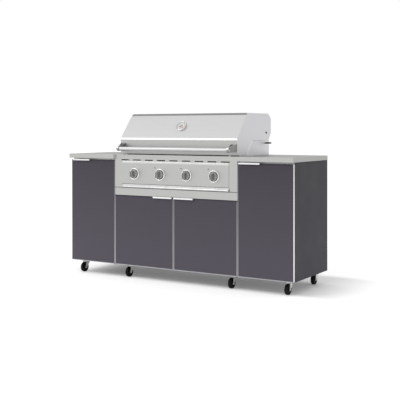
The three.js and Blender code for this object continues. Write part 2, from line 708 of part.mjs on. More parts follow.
// Drip tray: a shallow full-width pan on runners, with a rounded pull lip across its front
const addDripTray = () => {
  const under = runnerFootTop + seat;
  const panFront = doorFace + sheet + seat;
  const panRear = panFront + bodyDepth - trayRearInset;
  const pan = cut(
    box(-trayHalfWidth, trayHalfWidth, panFront, panRear, under, under + trayHeight),
    box(-trayHalfWidth + traySheet, trayHalfWidth - traySheet, panFront + traySheet, panRear - traySheet,
      under + traySheet, under + trayHeight + overrun),
  );
  const front = box(-trayHalfWidth - trayNotchGap, trayHalfWidth + trayNotchGap, doorFace, panFront + traySheet,
    panelBottom + seat, panelBottom + trayFrontHeight);
  const lipPlan = roundedRectangle(-trayHalfWidth - trayNotchGap, trayHalfWidth + trayNotchGap,
    doorFace - trayLipReach, doorFace + trayLipReach, trayLipCorner);
  const lipUnder = panelBottom + seat;
  const lipSection = new THREE.Shape();
  const lipRadius = trayLipHeight / 2;
  lipSection.moveTo(doorFace + sheet, lipUnder);
  lipSection.lineTo(doorFace + sheet, lipUnder + trayLipHeight);
  lipSection.lineTo(doorFace - trayLipReach + lipRadius, lipUnder + trayLipHeight);
  lipSection.absarc(doorFace - trayLipReach + lipRadius, lipUnder + lipRadius, lipRadius, Math.PI / 2, Math.PI * 1.5);
  const reach = trayHalfWidth + trayNotchGap + overrun;
  const lip = alongX(lipSection, -reach, reach, 4)
    .intersect(alongZ(lipPlan, lipUnder - overrun, lipUnder + trayLipHeight + overrun, 2));
  addPiece('drip_tray', join(pan, front, lip), polishedSteel);
};
addDripTray();

// Gas rail with four valves, burners with their mouths over the nozzles, and the folded flame tamers
const addGasTrain = () => {
  const railY = doorFace + railDepth;
  const ends = knobXs[knobCount - 1] + railEndReach;
  const valveFront = doorFace + valveFrontDepth;
  const shaftTip = doorFace - gripStart - shaftBite + knobFloat;
  const valves = knobXs.map((x) => join(
    bar([x, valveFront, knobHeight], [x, railY, knobHeight], valveRadius),
    bar([x, shaftTip, knobHeight], [x, railY, knobHeight], shaftRadius, pinSides),
    bar([x, railY, knobHeight], [x, railY + railRadius + nozzleReach, knobHeight], nozzleRadius, pinSides),
  ));
  addPiece('gas_rail', join(bar([-ends, railY, knobHeight], [ends, railY, knobHeight], railRadius), ...valves), brushedSteel);
  const burnerFront = doorFace + burnerFrontDepth;
  const burnerBack = fireboxRear - burnerEndGap;
  knobXs.forEach((x, i) => {
    const tube = join(
      bar([x, burnerFront, knobHeight], [x, burnerBack, knobHeight], burnerRadius, wheelSides),
      bar([x, burnerBack - burnerTipRadius, knobHeight], [x, fireboxRear, knobHeight], burnerTipRadius, pinSides),
    );
    const mouth = bar([x, burnerFront - overrun, knobHeight], [x, burnerFront + burnerMouthDepth, knobHeight], burnerMouthRadius);
    addPiece(`burner_${i + 1}`, cut(tube, mouth), brushedSteel);
  });
  const under = counterTop - tamerDrop + seat;
  const tamerEnds = [fireboxFront + sheet + tamerEndGap, fireboxRear - sheet - tamerEndGap];
  [['left_flame_tamer', knobXs[0], knobXs[1]], ['right_flame_tamer', knobXs[2], knobXs[3]]].forEach(([name, a, b]) => {
    const roof = (lift) => [
      [a - tamerHalfWidth, under + lift], [a, under + tamerRise + lift], [a + tamerHalfWidth, under + lift],
      [b - tamerHalfWidth, under + lift], [b, under + tamerRise + lift], [b + tamerHalfWidth, under + lift],
    ];
    addPiece(name, alongY(outline([...roof(0), ...roof(sheet).reverse()]), ...tamerEnds), brushedSteel);
  });
};
addGasTrain();

// Cooking grates: bars from front to back on three cross bars
const addGrate = (name, left, right) => {
  const top = counterTop - grateDrop + grateBar;
  const front = fireboxFront + sheet + grateEndGap;
  const back = fireboxRear - sheet - grateEndGap;
  const pitch = (right - left - grateBar) / (grateBars - 1);
  const bars = Array.from({ length: grateBars }, (_, i) => (
    box(left + i * pitch, left + i * pitch + grateBar, front, back, top - grateBar, top)));
  const inset = ledge + grateBar;
  const crossPitch = (back - front - inset * 2 - grateBar) / (grateCrossBars - 1);
  const crossBars = Array.from({ length: grateCrossBars }, (_, i) => {
    const y = front + inset + i * crossPitch;
    return box(left, right, y, y + grateBar, top - grateBar * 1.5, top - grateBar / 2);
  });
  addPiece(name, join(...bars, ...crossBars), castSteel);
};
const grateOuter = fireboxHalfWidth - plateThickness - grateEndGap;
addGrate('left_cooking_grate', -grateOuter, -grateMiddleGap / 2);
addGrate('right_cooking_grate', grateMiddleGap / 2, grateOuter);

// Warming rack: two rods laid on the side pegs, with cross wires
const addWarmingRack = () => {
  const z = counterTop + rackRise;
  const half = fireboxHalfWidth - plateThickness - rackEndGap;
  const rods = rackRodYs.map((y) => bar([-half, y, z], [half, y, z], rackRodRadius, pinSides));
  const pitch = (half - rackPegLength - rackEndGap) * 2 / (rackWires - 1);
  const wires = Array.from({ length: rackWires }, (_, i) => {
    const x = (i - (rackWires - 1) / 2) * pitch;
    return bar([x, rackRodYs[0] - rackRodRadius, z + rackRodRadius], [x, rackRodYs[1] + rackRodRadius, z + rackRodRadius],
      rackWireRadius, boltSides);
  });
  addPiece('warming_rack', join(...rods, ...wires), polishedSteel);
};
addWarmingRack();

// Lid: a folded hood between two end caps, which carry the front leg, the skirt and the hinge holes
const slopeFoot = new THREE.Vector2(doorFace + lidFrontDepth, counterTop + lidKneeRise);
const slopeTop = new THREE.Vector2(doorFace + lidTopFrontDepth, counterTop + lidTopRise);
const slopeAway = new THREE.Vector2().subVectors(slopeTop, slopeFoot);
const slopeNormal = new THREE.Vector2(-slopeAway.y, slopeAway.x).normalize();
const slopeMiddle = slopeFoot.clone().addScaledVector(slopeAway, 0.5).addScaledVector(slopeNormal, lidBow * 2);
const slopeCurve = new THREE.QuadraticBezierCurve(slopeFoot, slopeMiddle, slopeTop);
const hoodLine = () => {
  const kneeShare = lidKneeRadius / slopeAway.length();
  const browShare = lidBrowLength / slopeAway.length();
  const kneeEnd = slopeCurve.getPoint(kneeShare);
  const browStart = slopeCurve.getPoint(1 - browShare);
  const path = new THREE.Path();
  path.moveTo(slopeFoot.x, counterTop + lidFootRise);
  path.lineTo(slopeFoot.x, slopeFoot.y - lidKneeRadius);
  path.quadraticCurveTo(slopeFoot.x, slopeFoot.y, kneeEnd.x, kneeEnd.y);
  for (let i = 1; i < 6; i += 1) {
    const point = slopeCurve.getPoint(kneeShare + (1 - kneeShare - browShare) * i / 6);
    path.lineTo(point.x, point.y);
  }
  path.lineTo(browStart.x, browStart.y);
  path.lineTo(slopeTop.x + lidBrowRun, slopeTop.y);
  path.lineTo(rearFace - lidTopRearInset, slopeTop.y);
  path.lineTo(lidRear, slopeTop.y - lidUpperChamferDrop);
  return path.getPoints(6).filter((point, i, all) => i === 0 || point.distanceTo(all[i - 1]) > seat);
};
const insetLine = (points, amount) => points.map((point, i) => {
  const before = new THREE.Vector2().subVectors(point, points[Math.max(i - 1, 0)]).normalize();
  const after = new THREE.Vector2().subVectors(points[Math.min(i + 1, points.length - 1)], point).normalize();
  const along = before.clone().add(after).normalize();
  const straight = before.length() === 0 || after.length() === 0 ? 1 : along.dot(after);
  return new THREE.Vector2(point.x + along.y * amount / straight, point.y - along.x * amount / straight);
});
const addLid = () => {
  const hood = hoodLine();
  const cap = new THREE.Shape(hood);
  cap.lineTo(lidRear, counterTop + lidLowerChamferRise);
  cap.lineTo(lidHeel, counterTop + lidHeelRise);
  cap.lineTo(lidHeel, counterTop + lidSkirtRise);
  cap.lineTo(doorFace + lidSkirtDepth, counterTop + lidSkirtRise);
  cap.quadraticCurveTo(doorFace + lidLegCurveDepth, counterTop + lidSkirtRise / 2, doorFace + lidLegDepth, counterTop + lidFootRise);
  const body = alongX(cap, -lidHalfWidth, lidHalfWidth, 6);
  const inner = insetLine(hood, lidSheet);
  const last = inner[inner.length - 1];
  const cavity = new THREE.Shape(inner);
  cavity.lineTo(last.x, slopeTop.y - lidBackOpeningDrop);
  cavity.lineTo(lidRear + overrun, slopeTop.y - lidBackOpeningDrop);
  cavity.lineTo(lidRear + overrun, counterTop);
  cavity.lineTo(inner[0].x, counterTop);
  const top = counterTop + lidTopRise;
  const topBevel = (side) => alongY(outline([
    [side * lidHalfWidth, top - capBevelWidth],
    [side * (lidHalfWidth - capBevelDepth), top],
    [side * (lidHalfWidth - capBevelDepth), top + overrun],
    [side * (lidHalfWidth + overrun), top + overrun],
    [side * (lidHalfWidth + overrun), top - capBevelWidth],
  ]), doorFace, lidRear + overrun);
  const rearBevel = (side) => alongZ(outline([
    [side * lidHalfWidth, lidRear - capBevelRearWidth],
    [side * (lidHalfWidth - capBevelDepth), lidRear],
    [side * (lidHalfWidth - capBevelDepth), lidRear + overrun],
    [side * (lidHalfWidth + overrun), lidRear + overrun],
    [side * (lidHalfWidth + overrun), lidRear - capBevelRearWidth],
  ]), counterTop, top + overrun);
  const pinHole = bar([-lidHalfWidth - overrun, lidPivot.x, lidPivot.y], [lidHalfWidth + overrun, lidPivot.x, lidPivot.y],
    lidPinRadius + lidPinClearance, wheelSides);
  const gauge = slopeCurve.getPoint(gaugeRiseShare);
  const gaugeHole = bar([0, gauge.x + slopeNormal.x * overrun * 2, gauge.y + slopeNormal.y * overrun * 2],
    [0, gauge.x - slopeNormal.x * overrun * 2, gauge.y - slopeNormal.y * overrun * 2], gaugeStemRadius + gaugeStemClearance);
  addPiece('lid', cut(body, alongX(cavity, -lidInnerHalf, lidInnerHalf), mirrored(topBevel), mirrored(rearBevel), pinHole, gaugeHole),
    polishedSteel);
};
addLid();

// Lid handle: a tube carried by two cast yokes, hollow above and flared to their feet on the lid
const addLidHandle = () => {
  const tube = [
    [handleRadius - handleWall, -handleHalfLength],
    [handleRadius - handleEndChamfer, -handleHalfLength],
    [handleRadius, handleEndChamfer - handleHalfLength],
    [handleRadius, handleHalfLength - handleEndChamfer],
    [handleRadius - handleEndChamfer, handleHalfLength],
    [handleRadius - handleWall, handleHalfLength],
    [handleRadius - handleWall, -handleHalfLength],
  ];
  addPiece('lid_handle', turned(tube, [0, handleY, handleZ], [1, 0, 0], ringSides), polishedSteel);
  const lidFace = doorFace + lidFrontDepth - seat;
  const footFront = lidFace - bracketFootThickness;
  const ringFront = handleY - bracketRingRadius;
  const ringBack = handleY + bracketRingRadius;
  const footUnder = counterTop + bracketFootBottom;
  const footTop = counterTop + bracketFootTop;
  const profile = new THREE.Shape();
  profile.moveTo(handleY, handleZ + bracketRingRadius);
  profile.absarc(handleY, handleZ, bracketRingRadius, Math.PI / 2, Math.PI * 1.5);
  profile.lineTo(lidFace, footUnder);
  profile.lineTo(lidFace, footTop);
  [['left', -1], ['right', 1]].forEach(([name, side]) => {
    const tip = side * (handleHalfLength - bracketTipInset);
    const root = side * (lidHalfWidth - bracketFootInset);
    const tipHalf = bracketTipWidth / 2;
    const rootHalf = bracketFootWidth / 2;
    const plan = outline([
      [tip - tipHalf, ringFront],
      [tip + tipHalf, ringFront],
      [tip + tipHalf, ringBack],
      [root + rootHalf, lidFace],
      [root - rootHalf, lidFace],
      [tip - tipHalf, ringBack],
    ]);
    const hollow = outline([
      [tip - tipHalf + bracketWall, ringBack],
      [tip + tipHalf - bracketWall, ringBack],
      [root + rootHalf - bracketWall, footFront],
      [root - rootHalf + bracketWall, footFront],
    ]);
    const yoke = alongX(profile, root - bracketFootWidth, root + bracketFootWidth, 5)
      .intersect(alongZ(plan, footUnder - overrun, footTop));
    const pocket = alongZ(hollow, footUnder + bracketWall, footTop + overrun);
    const bore = bar([tip - bracketTipWidth, handleY, handleZ], [tip + bracketTipWidth, handleY, handleZ],
      handleRadius + seat, ringSides);
    addPiece(`${name}_handle_bracket`, cut(yoke, pocket, bore), castSteel);
  });
};
addLidHandle();

// Thermometer: a dished dial in a ring, with its stem through the hood
const addThermometer = () => {
  const centre = slopeCurve.getPoint(gaugeRiseShare);
  const profile = [
    [0, -gaugeStemLength],
    [gaugeStemRadius, -gaugeStemLength],
    [gaugeStemRadius, 0],
    [gaugeRadius, 0],
    [gaugeRadius, gaugeDepth - gaugeDishDepth],
    [gaugeRadius - gaugeRingWidth / 2, gaugeDepth],
    [gaugeRadius - gaugeRingWidth, gaugeDepth - gaugeDishDepth / 2],
    [gaugeRadius - gaugeRingWidth, gaugeDepth - gaugeDishDepth],
    [0, gaugeDepth - gaugeDishDepth],
  ];
  addPiece('thermometer', turned(profile, [0, centre.x + slopeNormal.x * seat, centre.y + slopeNormal.y * seat],
    [0, slopeNormal.x, slopeNormal.y], ringSides), dialWhite);
};
addThermometer();

// Knobs: a round skirt with a tapered grip bar, on the valve shaft inside a chromed bezel ring
const addKnobs = () => {
  const raisedFace = doorFace - raisedStep;
  const bezel = [
    [bezelInnerRadius, 0],
    [bezelOuterRadius, 0],
    [bezelOuterRadius, bezelThickness - bezelRounding],
    [bezelOuterRadius - bezelRounding, bezelThickness],
    [bezelInnerRadius, bezelThickness],
    [bezelInnerRadius, 0],
  ];
  const skirt = [
    [0, 0],
    [knobSkirtRadius, 0],
    [knobSkirtRadius, knobSkirtDepth / 2],
    [knobSkirtRadius - knobSkirtTaper, knobSkirtDepth],
    [0, knobSkirtDepth],
  ];
  const knobBack = raisedFace - knobFloat;
  const gripDepth = knobBack - (doorFace - knobReach);
  knobXs.forEach((x, i) => {
    addPiece(`knob_bezel_${i + 1}`, turned(bezel, [x, raisedFace - seat, knobHeight], [0, -1, 0], ringSides), polishedSteel);
    const grip = extrude(roundedRectangle(-gripWidth / 2, gripWidth / 2, -gripHeight / 2, gripHeight / 2, gripCorner), gripDepth, 1);
    const places = grip.attributes.position;
    for (let n = 0; n < places.count; n += 1) {
      const share = places.getZ(n) / gripDepth;
      places.setX(n, places.getX(n) * (1 - share + share * gripTipWidth / gripWidth));
      places.setY(n, places.getY(n) * (1 - share + share * gripTipHeight / gripHeight));
    }
    grip.rotateX(Math.PI / 2).translate(x, knobBack, knobHeight);
    const bore = bar([x, knobBack + overrun, knobHeight], [x, knobBack - shaftBite, knobHeight], shaftRadius + shaftClearance, pinSides);
    addPiece(`knob_${i + 1}`,
      cut(join(turned(skirt, [x, knobBack, knobHeight], [0, -1, 0], ringSides), solidOf(grip)), bore), knobMetal);
  });
};
addKnobs();

export default island;
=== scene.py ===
"""Outdoor kitchen island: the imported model's finishes and rounded pieces, on a studio stage."""
import json
import math

import bpy
from bpy.props import FloatProperty, FloatVectorProperty, IntProperty, PointerProperty
from mathutils import Matrix, Vector

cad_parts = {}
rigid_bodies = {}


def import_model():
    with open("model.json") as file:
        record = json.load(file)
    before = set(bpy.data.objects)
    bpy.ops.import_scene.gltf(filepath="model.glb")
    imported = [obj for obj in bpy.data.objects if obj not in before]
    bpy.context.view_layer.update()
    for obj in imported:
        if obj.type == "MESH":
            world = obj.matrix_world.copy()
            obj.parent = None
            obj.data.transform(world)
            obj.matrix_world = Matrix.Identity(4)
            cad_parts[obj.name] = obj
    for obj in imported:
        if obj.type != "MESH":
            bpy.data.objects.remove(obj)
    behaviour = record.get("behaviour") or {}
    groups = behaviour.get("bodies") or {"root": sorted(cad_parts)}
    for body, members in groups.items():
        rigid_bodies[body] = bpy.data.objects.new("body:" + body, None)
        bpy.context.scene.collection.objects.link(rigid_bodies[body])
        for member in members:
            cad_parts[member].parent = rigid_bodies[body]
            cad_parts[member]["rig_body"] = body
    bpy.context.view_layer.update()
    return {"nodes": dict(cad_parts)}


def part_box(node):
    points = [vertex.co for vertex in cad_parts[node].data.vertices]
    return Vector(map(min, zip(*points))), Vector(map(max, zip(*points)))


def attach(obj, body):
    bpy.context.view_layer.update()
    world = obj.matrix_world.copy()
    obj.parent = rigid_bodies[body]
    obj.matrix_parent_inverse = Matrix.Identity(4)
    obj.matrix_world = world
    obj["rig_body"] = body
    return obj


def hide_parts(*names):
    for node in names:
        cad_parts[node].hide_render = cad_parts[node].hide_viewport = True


bl_info = {
    "name": "Outdoor kitchen island",
    "version": (1, 0, 0),
    "blender": (4, 5, 0),
    "location": "3D View > Sidebar > Island",
    "description": "Builds the visible pieces, finishes and stage of an outdoor kitchen island",
    "category": "Object",
}

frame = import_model()
MM = 0.001
SMOOTH_ANGLE = math.radians(35)
ORIGIN, ACROSS, REARWARD, UPWARD, FORWARD = (0, 0, 0), (1, 0, 0), (0, 1, 0), (0, 0, 1), (0, -1, 0)
# How much of a face's normal lies along an axis, for a face that mostly or squarely looks that way
MOSTLY, SQUARELY = 0.9, 0.99
# The burners from left to right; each burner's knob and bezel have its number
BURNERS = (1, 2, 3, 4)


def linear(hex_colour):
    """Turn an sRGB hex colour into the linear colour that a shader socket takes."""
    channels = [int(hex_colour[start:start + 2], 16) / 255 for start in (1, 3, 5)]
    return [c / 12.92 if c <= 0.04045 else ((c + 0.055) / 1.055) ** 2.4 for c in channels] + [1.0]


def colour_setting(name, description, hex_colour):
    """A colour property whose default is an sRGB hex colour."""
    return FloatVectorProperty(
        name=name, description=description, default=linear(hex_colour),
        size=4, min=0.0, max=1.0, subtype="COLOR")


class IslandFinishes(bpy.types.PropertyGroup):
    """Colours of the island's finishes."""

    slate: colour_setting("Slate coating", "Powder coat on the door panels", "#514D57")
    # Partly painted shade: darker than the doors' coat for the island's shaded side; its cooler
    # tone is its own.
    carcass: colour_setting("Carcass coating", "Powder coat on the cabinets", "#38363D")
    brushed: colour_setting("Brushed steel", "Worktops, control panel and fascia", "#B4B4B2")
    hood: colour_setting("Hood steel", "Hood and warming rack", "#D1D1D1")
    cap: colour_setting("Hood cap", "The hood's two end caps", "#CDCDCF")
    # Painted light: every use of this pale colour stands in for light caught by edges and ends.
    painted_edge_light: colour_setting("Bright edges", "Hems of the caps, brackets and worktops", "#E8E8EA")
    # On the hood below its knee this grey is a painted darker reflection; on the carcass rail it is
    # bare steel.
    leg: colour_setting("Upright strips", "Below the hood's knee, above the end doors", "#AFAFAE")
    # Painted reflection: the brow is darker for the dark that it mirrors from above.
    brow: colour_setting("Hood brow", "The folded strip along the hood's upper edge", "#8E8E8F")
    # On the control panel's shoulder this colour is a painted highlight; on the tray, ring and hub
    # it is real polish.
    polish_and_highlight: colour_setting("Polished steel", "Tray, panel shoulder, thermometer ring", "#D0D0D0")
    handle: colour_setting("Handle tube", "The hood's handle tube", "#C8C8C8")
    # Heat browning on the cooking grates; painted shade on the shelf under the hood's foot.
    browned: colour_setting(
        "Browned steel", "Cooking grates and the shelf behind the hood's foot", "#4A4643")
    firebox: colour_setting("Firebox steel", "Firebox and gas rail", "#D8D8DA")
    aluminium: colour_setting("Satin aluminium", "Door frames", "#98979B")
    pull: colour_setting("Bright aluminium", "Door pulls", "#E6E6E8")
    # Painted highlight: the side of the end door's frame is given this paler colour.
    corner: colour_setting("Corner strip", "The outer side of the right door's frame", "#DCDCDE")
    bracket: colour_setting("Cast brackets", "Handle brackets", "#939391")
    oxide: colour_setting("Black oxide", "Hinge and stop pins and their nuts", "#2B2B2C")
    zinc: colour_setting("Zinc plating", "Caster forks", "#D4D4D2")
    chrome: colour_setting("Chrome plating", "Knob bezels", "#F2F2F2")
    knob: colour_setting("Knob metal", "Control knobs", "#A6A6A5")
    knob_face: colour_setting("Knob face", "The front face of each knob's grip", "#757574")
    rubber: colour_setting("Caster rubber", "Caster wheels", "#040404")
    dial: colour_setting("Dial", "Thermometer dial", "#F0EFEE")


class IslandSizes(bpy.types.PropertyGroup):
    """Sizes of the visible rounding and of the turned pieces."""

    sheet_radius: FloatProperty(
        name="Sheet edge radius", description="Rounding of folded sheet edges",
        default=1.2 * MM, min=0.1 * MM, max=4 * MM, unit="LENGTH")
    profile_radius: FloatProperty(
        name="Profile edge radius", description="Rounding of extruded and cast edges",
        default=0.6 * MM, min=0.1 * MM, max=2 * MM, unit="LENGTH")
    turning_steps: IntProperty(
        name="Turning steps", description="Sides of the turned pieces", default=64, min=16, max=128)
    gauge_seat: FloatVectorProperty(
        name="Thermometer seat", description="Where the thermometer's axis meets the hood's slope",
        default=(0.0, -147.18 * MM, 1095.05 * MM), size=3, subtype="XYZ", unit="LENGTH")
    gauge_tilt: FloatProperty(
        name="Thermometer tilt", description="How far the dial leans forward from facing up",
        default=math.radians(50.76), subtype="ANGLE")
    gauge_radius: FloatProperty(
        name="Thermometer radius", description="Outer radius of the thermometer's ring",
        default=40 * MM, min=20 * MM, max=60 * MM, unit="LENGTH")


class IslandStage(bpy.types.PropertyGroup):
    """The camera and the light."""

    lens: FloatProperty(
        name="Lens", description="Focal length on a 36 mm wide frame",
        default=73.2, min=10, max=300)
    camera_place: FloatVectorProperty(
        name="Camera place", description="Where the camera stands",
        default=(3.1065, -4.9958, 1.0711), size=3, subtype="XYZ", unit="LENGTH")
    camera_turn: FloatProperty(
        name="Camera turn", description="Turn of the level camera away from the island's depth",
        default=math.radians(31.35), subtype="ANGLE")
    camera_shift: FloatProperty(
        name="Camera shift", description="Shift that puts the horizon above the frame's middle",
        default=-0.175, min=-1, max=1)
    key_place: FloatVectorProperty(
        name="Key place", description="Where the soft lamp hangs",
        default=(-3.2, -4.3, 3.9), size=3, subtype="XYZ", unit="LENGTH")
    key_aim: FloatVectorProperty(
        name="Key aim", description="The place that the soft lamp points at",
        default=(0, 0, 0.55), size=3, subtype="XYZ", unit="LENGTH")
    key_size: FloatProperty(
        name="Key size", description="Side of the square lamp", default=3.4, unit="LENGTH")
    key_power: FloatProperty(
        name="Key power", description="Watts of the soft lamp", default=75, min=0)
    sky_strength: FloatProperty(
        name="Sky strength", description="Strength of the even light", default=0.68, min=0)
    floor_glow: FloatProperty(
        name="Floor glow", description="Light that the floor gives off where it is seen",
        default=0.45, min=0)


# Working on pieces

def select_only(piece):
    """Make one piece the only selected and active object."""
    bpy.ops.object.select_all(action="DESELECT")
    piece.select_set(True)
    bpy.context.view_layer.objects.active = piece


def finish_piece(piece, name, material, body, nodes=()):
    """Put a piece's place into its mesh, name it, give it its finish and join it to its body."""
    select_only(piece)
    bpy.ops.object.transform_apply(location=True, rotation=True, scale=True)
    piece.name = name
    piece.data.name = name
    piece.data.materials.clear()
    piece.data.materials.append(material)
    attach(piece, body)
    if nodes:
        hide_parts(*nodes)
    return piece


def body_of_node(node):
    """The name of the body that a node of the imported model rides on."""
    return frame["nodes"][node]["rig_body"]


def apply_modifier(piece, kind, settings):
    """Add a modifier, set it and apply it."""
    select_only(piece)
    modifier = piece.modifiers.new(kind.lower(), kind)
    for setting, value in settings.items():
        setattr(modifier, setting, value)
    bpy.ops.object.modifier_apply(modifier=modifier.name)


def smooth(piece):
    """Shade round what is round, and keep the flat faces flat."""
    select_only(piece)
    bpy.ops.object.shade_smooth_by_angle(angle=SMOOTH_ANGLE)
    apply_modifier(piece, "WEIGHTED_NORMAL", {"keep_sharp": True, "weight": 50})


def round_edges(piece, radius, segments=2):
    """Round the sharp edges of a piece and smooth what is left."""
    apply_modifier(piece, "BEVEL", {
        "width": radius, "segments": segments, "limit_method": "ANGLE", "angle_limit": SMOOTH_ANGLE,
        "harden_normals": False, "miter_outer": "MITER_ARC", "use_clamp_overlap": True})
    smooth(piece)


def rounded_copy(node, radius, material, segments=2):
    """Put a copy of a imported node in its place, with flat faces joined and edges rounded."""
    source = frame["nodes"][node]
    body = body_of_node(node)
    piece = source.copy()
    piece.data = source.data.copy()
    piece.parent = None
    for key in list(piece.keys()):
        del piece[key]
    bpy.context.scene.collection.objects.link(piece)
    select_only(piece)
    bpy.ops.object.mode_set(mode="EDIT")
    bpy.ops.mesh.select_mode(type="VERT")
    bpy.ops.mesh.select_all(action="SELECT")
    bpy.ops.mesh.remove_doubles(threshold=0.01 * MM)
    bpy.ops.mesh.dissolve_limited(angle_limit=math.radians(0.5))
    bpy.ops.object.mode_set(mode="OBJECT")
    round_edges(piece, radius, segments)
    return finish_piece(piece, node + ".dressed", material, body, [node])


def turned(profile, centre, axis, angle=math.tau):
    """Turn a profile of (radius, distance along the axis) points about an axis, in edit mode."""
    axis = Vector(axis).normalized()
    aside = axis.orthogonal().normalized()
    places = [Vector(centre) + aside * radius + axis * height for radius, height in profile]
    bpy.ops.object.select_all(action="DESELECT")
    bpy.ops.mesh.primitive_plane_add(size=MM, location=ORIGIN)
    piece = bpy.context.object
    bpy.ops.object.mode_set(mode="EDIT")
    bpy.ops.mesh.select_mode(type="VERT")
    bpy.ops.mesh.select_all(action="SELECT")
    bpy.ops.mesh.merge(type="CENTER")
    bpy.ops.transform.translate(value=places[0])
    for here, there in zip(places, places[1:]):
        bpy.ops.mesh.extrude_region_move(TRANSFORM_OT_translate={"value": there - here})
    bpy.ops.mesh.select_all(action="SELECT")
    bpy.ops.mesh.spin(
        steps=bpy.context.scene.island_sizes.turning_steps, angle=angle, center=centre, axis=axis)
    bpy.ops.mesh.select_all(action="SELECT")
    bpy.ops.mesh.remove_doubles(threshold=0.005 * MM)
    bpy.ops.mesh.normals_make_consistent(inside=False)
    bpy.ops.object.mode_set(mode="OBJECT")
    bpy.ops.object.shade_smooth_by_angle(angle=SMOOTH_ANGLE)
    return piece


def block(centre, size):
    """A rectangular blank at its place and size, ready for edit mode."""
    bpy.ops.object.select_all(action="DESELECT")
    bpy.ops.mesh.primitive_cube_add(size=1, location=centre, scale=size)
    bpy.ops.object.transform_apply(location=True, rotation=True, scale=True)
    return bpy.context.object


def narrowed(piece, test, share, centre):
    """Shrink the faces that pass a test towards a place, by a share along each axis."""
    select_only(piece)
    bpy.ops.object.mode_set(mode="EDIT")
    faces_where(piece, test)
    bpy.ops.transform.resize(value=share, center_override=centre)
    bpy.ops.object.mode_set(mode="OBJECT")
    return piece


def copy_at(piece, place):
    """A copy of a piece with its own mesh, put by a matrix."""
    twin = piece.copy()
    twin.data = piece.data.copy()
    twin.matrix_world = place
    bpy.context.scene.collection.objects.link(twin)
    return twin


def remove_models(*pieces):
    """Take away pieces that were only modelled to be copied."""
    for piece in pieces:
        bpy.data.objects.remove(piece)


def join_pieces(pieces):
    """Join several pieces into the first."""
    bpy.ops.object.select_all(action="DESELECT")
    for piece in pieces:
        piece.select_set(True)
    bpy.context.view_layer.objects.active = pieces[0]
    bpy.ops.object.join()
    return pieces[0]


def faces_where(piece, test):
    """In edit mode, select the faces whose middle and normal pass a test."""
    bpy.ops.mesh.select_mode(type="FACE")
    bpy.ops.mesh.select_all(action="DESELECT")
    bpy.ops.object.mode_set(mode="OBJECT")
    for face in piece.data.polygons:
        face.select = test(face.center, face.normal)
    bpy.ops.object.mode_set(mode="EDIT")


def cut_lines(piece, *planes):
    """Cut a line of edges all round a piece at each plane, given by a place and a normal."""
    select_only(piece)
    bpy.ops.object.mode_set(mode="EDIT")
    for place, normal in planes:
        bpy.ops.mesh.select_all(action="SELECT")
        bpy.ops.mesh.bisect(plane_co=place, plane_no=normal)
    bpy.ops.object.mode_set(mode="OBJECT")
    smooth(piece)


def second_finish(piece, material, test):
    """Give the faces that pass a test another finish."""
    piece.data.materials.append(material)
    for face in piece.data.polygons:
        if test(face.center, face.normal):
            face.material_index = len(piece.data.materials) - 1


def middle_of(node):
    """The middle of a node's box, and its half sizes."""
    low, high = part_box(node)
    return (low + high) / 2, (high - low) / 2


def rear_of(node):
    """The place of the middle of a node's rear, where a knob or bezel meets the control panel."""
    middle, half = middle_of(node)
    return Matrix.Translation((middle.x, middle.y + half.y, middle.z))


# Finishes

FINISHES = {}


def finish(name):
    """A finish by name; all are made on the first call."""
    if not FINISHES:
        make_finishes()
    return FINISHES[name]


def add_node(tree, kind, settings=None, inputs=None):
    """Add a node, set its properties, and fill or link its input sockets."""
    made = tree.nodes.new(kind)
    for name, value in (settings or {}).items():
        setattr(made, name, value)
    for name, value in (inputs or {}).items():
        socket = made.inputs[name]
        if isinstance(value, bpy.types.NodeSocket):
            tree.links.new(value, socket)
        else:
            socket.default_value = value
    return made


def new_material(name):
    """A named material with nothing but its output and its shader."""
    material = bpy.data.materials.new(name)
    material.use_nodes = True
    tree = material.node_tree
    shader = tree.nodes["Principled BSDF"]
    return material, tree, shader


def grain_noise(tree, grain, detail=3.0):
    """Noise on object coordinates, whose grain has a size in millimetres along each axis."""
    place = add_node(tree, "ShaderNodeTexCoord").outputs["Object"]
    mapping = add_node(tree, "ShaderNodeMapping", None, {
        "Vector": place, "Scale": [1 / (size * MM) for size in grain]})
    noise = add_node(tree, "ShaderNodeTexNoise", None, {
        "Vector": mapping.outputs["Vector"], "Scale": 1.0, "Detail": detail, "Roughness": 0.55})
    return noise.outputs["Fac"]


def shade_range(tree, value, colour, spread):
    """Spread a colour a little darker and lighter by a value."""
    dark = [c * (1 - spread) for c in colour[:3]] + [1.0]
    light = [min(1.0, c * (1 + spread)) for c in colour[:3]] + [1.0]
    mix = add_node(tree, "ShaderNodeMix", {"data_type": "RGBA"}, {0: value, 6: dark, 7: light})
    return mix.outputs[2]


def number_range(tree, noise, low, high):
    """Map a noise, which mostly stays between a quarter and three quarters, on a range."""
    made = add_node(tree, "ShaderNodeMapRange", None, {
        "Value": noise, "From Min": 0.25, "From Max": 0.75, "To Min": low, "To Max": high})
    return made.outputs["Result"]


def link_skin(tree, shader, colour, roughness, height, depth, strength):
    """Link a shader's colour and roughness, and a bump from a height with a depth in metres."""
    bump = add_node(tree, "ShaderNodeBump", None, {
        "Height": height, "Distance": depth, "Strength": strength})
    tree.links.new(colour, shader.inputs["Base Color"])
    tree.links.new(roughness, shader.inputs["Roughness"])
    tree.links.new(bump.outputs["Normal"], shader.inputs["Normal"])


